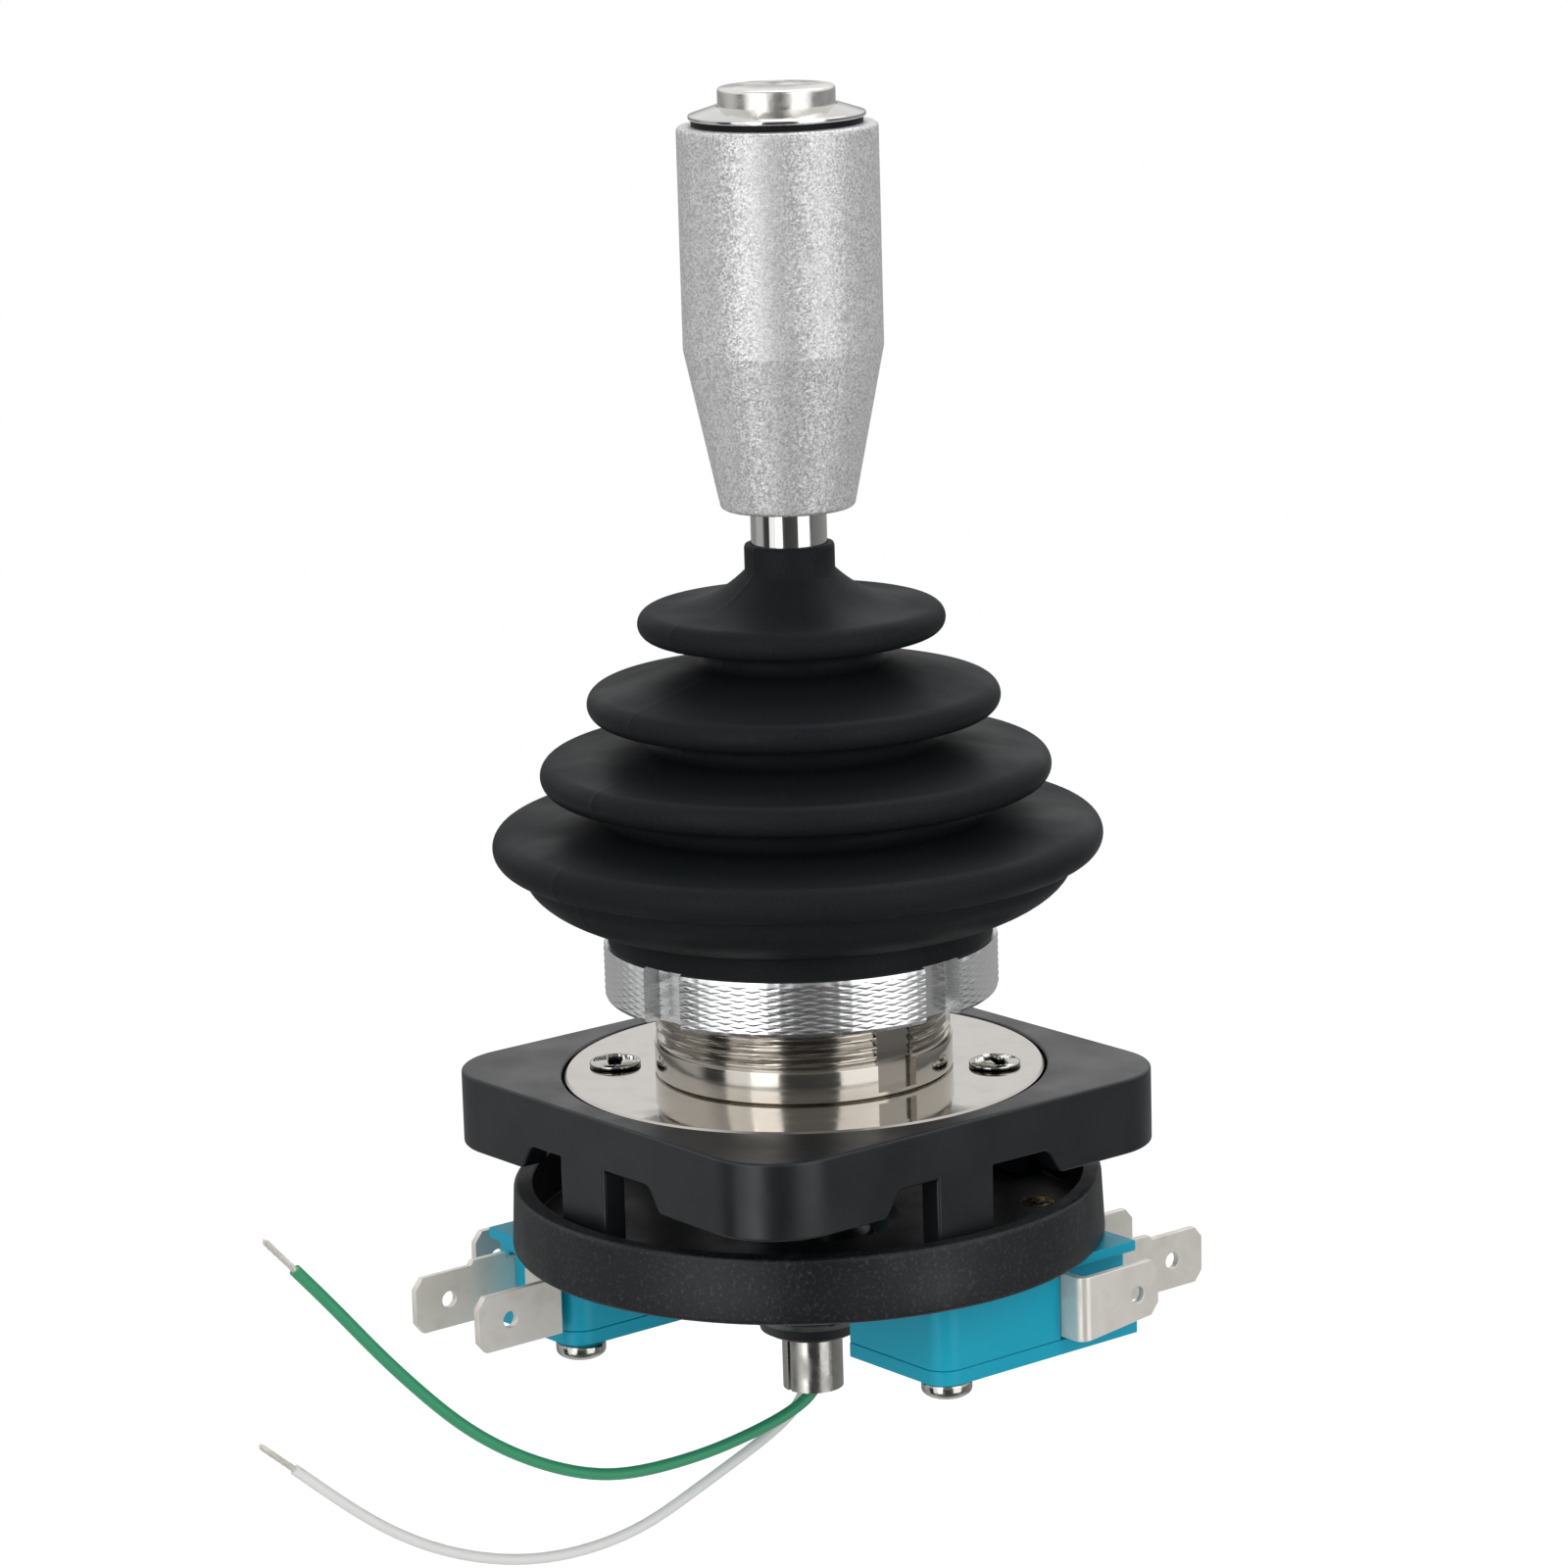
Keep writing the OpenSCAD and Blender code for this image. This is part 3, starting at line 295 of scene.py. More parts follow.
@dataclass(frozen=True)
class FlakePaint(Finish):
    """Sprayed metallic paint: every flake lies at its own tilt, so some sparkle and others stay dark.

    The finish's colour is that of its brightest flakes.
    """

    flake: float = 0.18
    tilt: float = 0.24
    dark: str = "#b0b0b0"
    bright_share: Span = (0.1, 0.9)

    def pattern(self, tree: bpy.types.NodeTree, shader: bpy.types.Node) -> None:
        """Give each flake a grey and a tilt of its own.

        Args:
            tree: The material's node tree.
            shader: The surface shader that takes the pattern.
        """
        place = add_node(tree, "ShaderNodeTexCoord").outputs["Object"]
        # Real flakes are 0.05 mm; they are drawn more than three times as coarse, as large as their sparkle
        flakes = add_node(tree, "ShaderNodeTexVoronoi", {"Vector": place, "Scale": 1 / (self.flake * MM)})
        chance = add_node(tree, "ShaderNodeSeparateColor", {0: flakes.outputs["Color"]})
        share = add_node(tree, "ShaderNodeMapRange", {
            "Value": chance.outputs[0], "To Min": self.bright_share[0], "To Max": self.bright_share[1]})
        shade = add_node(tree, "ShaderNodeMix", {
            0: share.outputs[0], 6: linear(self.dark), 7: linear(self.colour)}, data_type="RGBA")
        tree.links.new(shade.outputs[2], shader.inputs["Base Color"])
        lean = add_node(tree, "ShaderNodeVectorMath", {
            0: flakes.outputs["Color"], 1: (self.tilt,) * 3, 2: (-self.tilt / 2,) * 3},
            operation="MULTIPLY_ADD")
        upright = add_node(tree, "ShaderNodeNewGeometry").outputs["Normal"]
        leaning = add_node(tree, "ShaderNodeVectorMath", {0: lean.outputs[0], 1: upright}, operation="ADD")
        normal = add_node(tree, "ShaderNodeVectorMath", {0: leaning.outputs[0]}, operation="NORMALIZE")
        tree.links.new(normal.outputs[0], shader.inputs["Normal"])


@dataclass(frozen=True)
class Moulded(Finish):
    """Moulded plastic or rubber: the mould's etched grain, with patches of more or less shine."""

    grain: float = 0.35
    grain_depth: float = 0.02
    patch: float = 9.0
    patch_share: float = 0.25
    patch_span: Span = (0.3, 0.7)
    glint: str = ""
    glint_share: float = 0.35
    glint_span: Span = (0.54, 0.74)

    def pattern(self, tree: bpy.types.NodeTree, shader: bpy.types.Node) -> None:
        """Add the grain, the uneven gloss and, where a glint colour is set, painted glints: light specks on
        the grain's peaks.

        Args:
            tree: The material's node tree.
            shader: The surface shader that takes the pattern.
        """
        place = add_node(tree, "ShaderNodeTexCoord").outputs["Object"]
        grain = add_node(tree, "ShaderNodeTexNoise", {
            "Vector": place, "Scale": 1 / (self.grain * MM), "Detail": 3.0, "Roughness": 0.6})
        bump = add_node(tree, "ShaderNodeBump", {
            "Height": grain.outputs[0], "Distance": self.grain_depth * MM})
        tree.links.new(bump.outputs[0], shader.inputs["Normal"])
        cloud = add_node(tree, "ShaderNodeTexNoise", {
            "Vector": place, "Scale": 1 / (self.patch * MM), "Detail": 3.0})
        gloss = add_node(tree, "ShaderNodeMapRange", {
            "Value": cloud.outputs[0], "From Min": self.patch_span[0], "From Max": self.patch_span[1],
            "To Min": self.roughness * (1 - self.patch_share),
            "To Max": self.roughness * (1 + self.patch_share)})
        tree.links.new(gloss.outputs[0], shader.inputs["Roughness"])
        if self.glint:
            # Painted glints: the grain's peaks take a lighter colour
            share = add_node(tree, "ShaderNodeMapRange", {
                "Value": grain.outputs[0], "From Min": self.glint_span[0], "From Max": self.glint_span[1],
                "To Max": self.glint_share})
            tint = add_node(tree, "ShaderNodeMix", {
                0: share.outputs[0], 6: linear(self.colour), 7: linear(self.glint)}, data_type="RGBA")
            tree.links.new(tint.outputs[2], shader.inputs["Base Color"])


# Bright nickel on the flat disc: a warm grey mirror
NICKEL = Plated("polished_nickel_plate", "nickel", "#c9c5bf", 0.09, 1.0, wave_depth=0.0025)
# Nickel over the lathe's cut: the rings blur each reflection up and down
TURNED_NICKEL = Turned("turned_nickel_plate", "nickel", "#bdb8b0", 0.13, 1.0, ring=0.3, ring_depth=0.0025)
# Satin nickel on the button: soft spots of light with no hard edge
SATIN_NICKEL = Plated("satin_nickel_plate", "nickel", "#eae8e4", 0.27, 1.0, tarnish_share=0.08)
# Buffed nickel on the bezel: a paler mirror than the disc
BUFFED_NICKEL = Plated("buffed_nickel_plate", "nickel", "#d8d7d4", 0.1, 1.0, tarnish_share=0.08)
# Dull nickel on the drawn tube: a grey sheen from top to bottom
DULL_NICKEL = Plated("dull_nickel_plate", "nickel", "#c2c0bb", 0.29, 1.0, tarnish_share=0.2)
# Hard chrome on ground steel: a cooler, cleaner mirror
CHROME = Plated("ground_chromed_steel", "chrome", "#d8d8d6", 0.09, 1.0, haze_share=0.4, tarnish_share=0.05)
# Aluminium as it comes off the lathe and the knurling wheels: bright, with a soft edge to each reflection
ALUMINIUM = Turned("turned_aluminium", "aluminium", "#f4f5f5", 0.22, 0.96)
# Silver flake paint: a light grey that sparkles
SILVER = FlakePaint("sprayed_silver_flake_paint", "silver_paint", "#f8f8f8", 0.42, 0.5)
# Zinc-plated steel, rolled or barrel finished: satin
ZINC = Plated("zinc_plated_steel", "steel", "#b9bab8", 0.28, 1.0, haze=1.5, tarnish_share=0.3)
# Nickel-plated steel screws: bright but worn in the barrel
SCREW = Plated("nickel_plated_screw", "steel", "#c6c6c0", 0.16, 1.0, haze=0.8, tarnish_share=0.3)
# The same screws on the disc, face up: painted shade darkens the cross and the edge
DISC_SCREW = PlatedScrew("nickel_plated_disc_screw", "steel", "#c6c6c0", 0.16, 1.0, haze=0.8,
                         tarnish_share=0.3)
# Spring wire, cold drawn: dark satin
WIRE = Plated("drawn_spring_wire", "spring_steel", "#8f9194", 0.32, 1.0, haze=1.0)
# Bare rolled brass: warm yellow satin
BRASS = Plated("rolled_brass", "brass", "#c9a561", 0.26, 1.0, haze=1.0, tarnish="#8a6a35")
# Matt tin on stamped brass blades: pale and cloudy, as bright from one side as from the other
TIN = Plated("stamped_matt_tin_plate", "tinned_brass", "#eeeae2", 0.42, 0.45, haze_share=0.25, wave=0.5,
             wave_depth=0.003, tarnish="#b3aca0", tarnish_share=0.35)
# Glass-filled nylon from an etched mould: black, with a semi-gloss that turns grey at a low angle
NYLON = Moulded("moulded_black_nylon", "black_plastic", "#161a1d", 0.36, grain=0.3, grain_depth=0.006)
# The same nylon from a coarser mould: painted glints, light specks on the grain, stand out all over the cup
COARSE_NYLON = Moulded("coarse_moulded_nylon", "black_plastic", "#121619", 0.48, specular=0.4, grain=0.4,
                       grain_depth=0.03, glint="#565b61")
# Polyester moulding of the switches: saturated teal with a soft gloss
TEAL = Moulded("moulded_teal_polyester", "teal_plastic", "#08a6c3", 0.38, specular=0.35, grain=0.25,
               grain_depth=0.004)
# Natural acetal of the plungers: waxy ivory
IVORY = Moulded("moulded_ivory_acetal", "ivory_plastic", "#e6e0cc", 0.4, grain_depth=0.003)
# Moulded neoprene: black, with only a faint broad shine and faint painted glints on the grain
RUBBER = Moulded("moulded_neoprene", "rubber", "#1c1f21", 0.5, specular=0.07, grain=0.22, grain_depth=0.01,
                 patch=14.0, glint="#3a3f42", glint_share=0.25)
# Extruded PVC insulation: smooth and slightly glossy
GREEN_PVC = Moulded("extruded_green_insulation", "green_pvc", "#3b9e71", 0.38, grain=0.6, grain_depth=0.006)
WHITE_PVC = Moulded("extruded_white_insulation", "white_pvc", "#ebebe9", 0.38, grain=0.6, grain_depth=0.006)


class Draft:
    """Points in millimetres and faces that grow into one mesh."""

    def __init__(self) -> None:
        """Start with no points and no faces."""
        self.points: list[Point] = []
        self.faces: list[tuple[int, ...]] = []

    def skin(self, rows: Sequence[Sequence[Point]], closed: bool = False) -> None:
        """Join rows of points, all of one length and closed on themselves, into a skin.

        Args:
            rows: The rows of points.
            closed: Whether the last row joins the first.
        """
        start, width = len(self.points), len(rows[0])
        for row in rows:
            self.points.extend(row)
        for i in range(len(rows) if closed else len(rows) - 1):
            low, high = start + i * width, start + (i + 1) % len(rows) * width
            for j in range(width):
                k = (j + 1) % width
                self.faces.append((low + j, low + k, high + k, high + j))

    def cap(self, row: Sequence[Point], flip: bool = False) -> None:
        """Close an open end with one face.

        Args:
            row: The points of the end, in the order of its skin.
            flip: Whether the face looks the other way.
        """
        start = len(self.points)
        self.points.extend(row)
        ring = tuple(range(start, start + len(row)))
        self.faces.append(ring[::-1] if flip else ring)

    def sweep(self, path: Sequence[Vector], radius: float, sides: int) -> None:
        """Add a round tube along a path.

        Args:
            path: The points of its middle line.
            radius: The tube's radius.
            sides: The number of points round the tube.
        """
        side = (path[1] - path[0]).orthogonal().normalized()
        rows = []
        turns = circle(sides)
        for i, middle in enumerate(path):
            ahead = (path[min(i + 1, len(path) - 1)] - path[max(i - 1, 0)]).normalized()
            side = (side - side.dot(ahead) * ahead).normalized()
            across = ahead.cross(side)
            spokes = [math.cos(t) * side + math.sin(t) * across for t in turns]
            rows.append([tuple(middle + radius * spoke) for spoke in spokes])
        self.skin(rows)
        self.cap(rows[0], flip=True)
        self.cap(rows[-1])

    def piece(self, name: str, finish: Finish, smooth_below: float = 35.0) -> bpy.types.Object:
        """Make the object, in metres and in the frame's place.

        Args:
            name: The object's name.
            finish: Its finish.
            smooth_below: Edges that bend by less than this many degrees are shaded smooth.

        Returns:
            The new object, linked to the scene.
        """
        mesh = bpy.data.meshes.new(name)
        mesh.from_pydata(in_metres(self.points), [], self.faces)
        shape = bmesh.new()
        shape.from_mesh(mesh)
        bmesh.ops.remove_doubles(shape, verts=shape.verts, dist=WELD)
        bmesh.ops.dissolve_degenerate(shape, edges=shape.edges, dist=WELD)
        bmesh.ops.recalc_face_normals(shape, faces=shape.faces)
        shape.to_mesh(mesh)
        shape.free()
        mesh.shade_smooth()
        mesh.set_sharp_from_angle(angle=math.radians(smooth_below))
        return place_mesh(name, mesh, finish)


def link(name: str, data: bpy.types.ID) -> bpy.types.Object:
    """Make an object from its data and link it to the scene.

    Args:
        name: The object's name.
        data: Its mesh, curve, light or camera.

    Returns:
        The new object.
    """
    made = bpy.data.objects.new(name, data)
    bpy.context.scene.collection.objects.link(made)
    return made


def place_mesh(name: str, mesh: bpy.types.Mesh, finish: Finish) -> bpy.types.Object:
    """Link a mesh to the scene as a piece with its finish.

    Args:
        name: The object's name.
        mesh: Its mesh, in metres.
        finish: Its finish.

    Returns:
        The new object.
    """
    piece = link(name, mesh)
    mesh.materials.clear()
    mesh.materials.append(finish.material())
    return piece


def dress(finish: Finish, *nodes: str) -> None:
    """Give CAD nodes whose shape is right their finish.

    Args:
        finish: The finish.
        *nodes: The names of the nodes.
    """
    for name in nodes:
        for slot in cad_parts[name].material_slots:
            slot.material = finish.material()
        LOG.info("%s: CAD shape in %s", name, finish.name)


def set_down(piece: bpy.types.Object, body: Body, *nodes: str) -> bpy.types.Object:
    """Let a piece ride on its body in place of CAD nodes, and report it.

    Args:
        piece: The piece.
        body: The body it rides on.
        *nodes: The CAD nodes that it stands for.

    Returns:
        The same piece.
    """
    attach(piece, body.value)
    if nodes:
        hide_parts(*nodes)
    LOG.info("%s: rides on %s for %s", piece.name, body.value, ", ".join(nodes) or "itself")
    return piece


def soften(node: str, body: Body, finish: Finish, width: float, outside: float = 0.0) -> None:
    """Stand in for a CAD node with a copy whose edges are rounded as a mould or die leaves them.

    Args:
        node: The node's name.
        body: The body it rides on.
        finish: Its finish.
        width: The width of the rounding.
        outside: Only edges farther than this from the upright axis are rounded.
    """
    shape = bmesh.new()
    shape.from_mesh(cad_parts[node].data)
    bmesh.ops.remove_doubles(shape, verts=shape.verts, dist=CAD_WELD)
    bmesh.ops.dissolve_limit(shape, angle_limit=FLAT, verts=shape.verts, edges=shape.edges)
    weight = shape.edges.layers.float.new("bevel_weight_edge")
    for edge in shape.edges:
        if len(edge.link_faces) == 2 and edge.calc_face_angle(0.0) > CREASE:
            edge[weight] = float(min(corner.co.xy.length for corner in edge.verts) > outside * MM)
    name = f"{node}_soft"
    mesh = bpy.data.meshes.new(name)
    shape.to_mesh(mesh)
    shape.free()
    if "custom_normal" in mesh.attributes:
        mesh.attributes.remove(mesh.attributes["custom_normal"])
    mesh.shade_smooth()
    mesh.set_sharp_from_angle(angle=CREASE)
    piece = place_mesh(name, mesh, finish)
    bevel = piece.modifiers.new("edge", "BEVEL")
    bevel.width = width * MM
    bevel.segments = EDGE_STEPS
    bevel.limit_method = "WEIGHT"
    bevel.use_clamp_overlap = False
    bevel.harden_normals = True
    # A face with a hole in it is split here, because a later split could cross the hole
    facets = piece.modifiers.new("facets", "TRIANGULATE")
    facets.min_vertices = SPLIT_FROM
    facets.keep_custom_normals = True
    final = bpy.data.meshes.new_from_object(piece.evaluated_get(bpy.context.evaluated_depsgraph_get()))
    piece.modifiers.clear()
    piece.data = final
    set_down(piece, body, node)


def in_metres(points: Sequence[Point]) -> list[Point]:
    """Give points in metres from points in millimetres."""
    return [(x * MM, y * MM, z * MM) for x, y, z in points]


def circle(steps: int) -> list[float]:
    """Give the angles, in radians, of even steps round a circle."""
    return [2 * math.pi * k / steps for k in range(steps)]


def turned(
    profile: Sequence[Span], angles: Sequence[float], cut: Callable[[Spot], float] | None = None
) -> list[list[Point]]:
    """Turn a profile about the Z axis.

    Args:
        profile: Radius and height of each row.
        angles: The angles of the columns, in radians.
        cut: Gives the radius to use at a spot of the profile.

    Returns:
        Rows of points for Draft.skin.
    """
    rows = []
    for radius, height in profile:
        row = []
        for angle in angles:
            r = cut(Spot(angle, radius, height)) if cut else radius
            row.append((r * math.cos(angle), r * math.sin(angle), height))
        rows.append(row)
    return rows


def arc(middle: Span, radius: float, ends: Span, steps: int) -> list[Span]:
    """Give points of an arc.

    Args:
        middle: The arc's centre.
        radius: Its radius.
        ends: Its first and its last angle in degrees.
        steps: The number of steps from one to the other.

    Returns:
        The points.
    """
    turns = [math.radians(ends[0] + (ends[1] - ends[0]) * i / steps) for i in range(steps + 1)]
    return [(middle[0] + radius * math.cos(t), middle[1] + radius * math.sin(t)) for t in turns]


@dataclass(frozen=True)
class SoftBox:
    """A rectangular lamp that looks at the lever.

    It hangs off degrees to the right of the camera and lift degrees above the level, and its power is in
    watts.
    """

    name: str
    off: float
    lift: float
    reach: float
    size: tuple[float, float]
    power: float


SOFT_BOXES = (
    SoftBox("right_soft_box", off=46, lift=12, reach=1050, size=(740, 1600), power=5.4),
    SoftBox("left_soft_box", off=-30, lift=10, reach=1050, size=(400, 1600), power=4.3),
    SoftBox("left_fill_box", off=-51, lift=10, reach=1050, size=(400, 1600), power=2.0),
    SoftBox("top_soft_box", off=150, lift=68, reach=1000, size=(900, 900), power=3.4))


@dataclass
class Studio:
    """The camera of the photograph, and a plain pale room with soft boxes.

    The wall greys are how bright the walls are at each angle to the right of the camera. A span is two
    places between which a light changes, and the pair beside it is what it changes between.
    """

    azimuth: float = 51.2
    distance: float = 565.7
    height: float = 157.7
    pitch: float = 12.65
    roll: float = -1.66
    focal_px: float = 5603.4
    centre_px: tuple[float, float] = (812.4, 800.3)
    picture_px: float = 1600.0
    sensor: float = 36.0
    aim_z: float = 30.0
    floor_z: float = -96.0
    floor_r: float = 4000.0
    floor_sides: int = 96
    paper: str = "#e6e6e6"
    glow: float = 0.5
    white_span: Span = (250.0, 600.0)
    front_span: Span = (0.1, 0.75)
    ceiling: Span = (0.9, 0.22)
    ceiling_span: Span = (0.0, 0.3)
    ground: Span = (0.65, 0.16)
    ground_span: Span = (-0.45, -0.85)
    wall_greys: tuple[Span, ...] = (
        (-180, 0.35), (-125, 0.3), (-110, 0.5), (-90, 0.5), (-78, 0.06), (-64, 0.05), (-54, 0.25),
        (-20, 0.2), (-12, 0.06), (18, 0.07), (30, 0.35), (45, 0.5), (60, 0.65), (108, 0.65), (120, 0.22),
        (140, 0.25), (180, 0.35))
    dull: float = 0.4

    def direction(self, off: float) -> Vector:
        """Give the level direction from the lever towards the camera, turned to the right by off degrees."""
        turn = math.radians(self.azimuth + off)
        return Vector((math.sin(turn), -math.cos(turn), 0))

    def camera(self) -> None:
        """Set up the camera where the photograph's was."""
        pitch, roll = math.radians(self.pitch), math.radians(self.roll)
        level = -self.direction(0)
        ahead = Vector((level.x * math.cos(pitch), level.y * math.cos(pitch), -math.sin(pitch)))
        right = self.direction(90)
        up = right.cross(ahead)
        side = math.cos(roll) * right + math.sin(roll) * up
        top = -math.sin(roll) * right + math.cos(roll) * up
        data = bpy.data.cameras.new("studio_camera")
        data.lens = self.focal_px / self.picture_px * self.sensor
        data.sensor_width = self.sensor
        data.shift_x = 0.5 - self.centre_px[0] / self.picture_px
        data.shift_y = self.centre_px[1] / self.picture_px - 0.5
        camera = link("studio_camera", data)
        place = self.direction(0) * self.distance * MM
        place.z = self.height * MM
        turn = Matrix((side, top, -ahead)).transposed().to_4x4()
        camera.matrix_world = Matrix.Translation(place) @ turn
        bpy.context.scene.camera = camera

    def lamp(self, box: SoftBox) -> None:
        """Hang a soft box.

        Args:
            box: The soft box.
        """
        data = bpy.data.lights.new(box.name, "AREA")
        data.shape = "RECTANGLE"
        data.size, data.size_y = box.size[0] * MM, box.size[1] * MM
        data.energy = box.power
        lift = math.radians(box.lift)
        aim = self.direction(box.off) * math.cos(lift) + Vector((0, 0, math.sin(lift)))
        lamp = link(box.name, data)
        lamp.location = aim * box.reach * MM + Vector((0, 0, self.aim_z * MM))
        lamp.rotation_euler = aim.to_track_quat("Z", "Y").to_euler()

    def floor(self) -> None:
        """Lay the pale floor, which keeps the shadow near the object and is white further out."""
        rim = turned([(self.floor_r, self.floor_z)], circle(self.floor_sides))[0]
        mesh = bpy.data.meshes.new("studio_floor")
        mesh.from_pydata(in_metres(rim), [], [tuple(range(len(rim)))])
        floor = link("studio_floor", mesh)
        material = bpy.data.materials.new("pale_studio_paper")
        tree = empty_tree(material)
        paper = add_node(tree, "ShaderNodeBsdfDiffuse", {"Color": linear(self.paper)})
        glow = add_node(tree, "ShaderNodeEmission", {"Color": grey(1), "Strength": self.glow})
        near = add_node(tree, "ShaderNodeAddShader", {0: paper.outputs[0], 1: glow.outputs[0]})
        white = add_node(tree, "ShaderNodeEmission", {"Color": grey(1), "Strength": 1.0})
        place = add_node(tree, "ShaderNodeTexCoord").outputs["Object"]
        reach = add_node(tree, "ShaderNodeVectorMath", {0: place}, operation="LENGTH")
        far = add_node(tree, "ShaderNodeMapRange", {
            "Value": reach.outputs["Value"], "From Min": self.white_span[0] * MM,
            "From Max": self.white_span[1] * MM}, interpolation_type="SMOOTHSTEP")
        seen = add_node(tree, "ShaderNodeMixShader", {
            0: far.outputs[0], 1: near.outputs[0], 2: white.outputs[0]})
        ray = add_node(tree, "ShaderNodeLightPath")
        both = add_node(tree, "ShaderNodeMixShader", {
            0: ray.outputs["Is Camera Ray"], 1: paper.outputs[0], 2: seen.outputs[0]})
        add_node(tree, "ShaderNodeOutputMaterial", {"Surface": both.outputs[0]})
        mesh.materials.append(material)
        floor.visible_glossy = False

    def walls(self, tree: bpy.types.NodeTree, way: bpy.types.NodeSocket) -> bpy.types.NodeSocket:
        """Give the walls' grey in each direction, for reflections.

        Args:
            tree: The world's node tree.
            way: The direction.

        Returns:
            The grey.
        """
        ahead, aside = (add_node(tree, "ShaderNodeVectorMath", {
            0: way, 1: tuple(self.direction(off))}, operation="DOT_PRODUCT") for off in (0, 90))
        angle = add_node(tree, "ShaderNodeMath", {
            0: aside.outputs["Value"], 1: ahead.outputs["Value"]}, operation="ARCTAN2")
        share = add_node(tree, "ShaderNodeMath", {
            0: angle.outputs[0], 1: 0.5 / math.pi, 2: 0.5}, operation="MULTIPLY_ADD")
        walls = add_node(tree, "ShaderNodeValToRGB", {0: share.outputs[0]})
        ramp = walls.color_ramp
        ramp.interpolation = "EASE"
        for i, (turn, value) in enumerate(self.wall_greys):
            stop = ramp.elements[i] if i < 2 else ramp.elements.new(0.5)
            stop.position = turn / 360 + 0.5
            stop.color = grey(value)
        return walls.outputs[0]

    def room(self) -> None:
        """Make the world: white behind the object, and for gloss a room with lighter and darker sides."""
        world = bpy.data.worlds.new("studio_room")
        bpy.context.scene.world = world
        tree = empty_tree(world)
        way = add_node(tree, "ShaderNodeTexCoord").outputs["Generated"]
        axes = add_node(tree, "ShaderNodeSeparateXYZ", {0: way})
        level = add_node(tree, "ShaderNodeVectorMath", {0: way, 1: (1, 1, 0)}, operation="MULTIPLY")
        unit = add_node(tree, "ShaderNodeVectorMath", {0: level.outputs[0]}, operation="NORMALIZE")
        facing = add_node(tree, "ShaderNodeVectorMath", {
            0: unit.outputs[0], 1: tuple(self.direction(0))}, operation="DOT_PRODUCT")
        gloss = self.walls(tree, way)
        for span, greys in ((self.ceiling_span, self.ceiling), (self.ground_span, self.ground)):
            share = add_node(tree, "ShaderNodeMapRange", {
                "Value": axes.outputs[2], "From Min": span[0], "From Max": span[1]},
                interpolation_type="SMOOTHSTEP")
            plane = add_node(tree, "ShaderNodeMapRange", {
                "Value": facing.outputs["Value"], "From Min": self.front_span[0],
                "From Max": self.front_span[1], "To Min": greys[0], "To Max": greys[1]})
            gloss = add_node(tree, "ShaderNodeMix", {
                0: share.outputs[0], 6: gloss, 7: plane.outputs[0]}, data_type="RGBA").outputs[2]
        ray = add_node(tree, "ShaderNodeLightPath")
        shiny = add_node(tree, "ShaderNodeMath", {
            0: ray.outputs["Is Glossy Ray"], 1: ray.outputs["Is Transmission Ray"]}, operation="MAXIMUM")
        plain = add_node(tree, "ShaderNodeMix", {
            0: shiny.outputs[0], 6: grey(self.dull), 7: gloss}, data_type="RGBA")
        seen = add_node(tree, "ShaderNodeMix", {
            0: ray.outputs["Is Camera Ray"], 6: plain.outputs[2], 7: grey(1)}, data_type="RGBA")
        back = add_node(tree, "ShaderNodeBackground", {"Color": seen.outputs[2]})
        add_node(tree, "ShaderNodeOutputWorld", {"Surface": back.outputs[0]})

    def light(self) -> None:
        """Hang the soft boxes, lay the floor and set the room."""
        for box in SOFT_BOXES:
            self.lamp(box)
        self.floor()
        self.room()
        bpy.context.scene.view_settings.view_transform = "Standard"


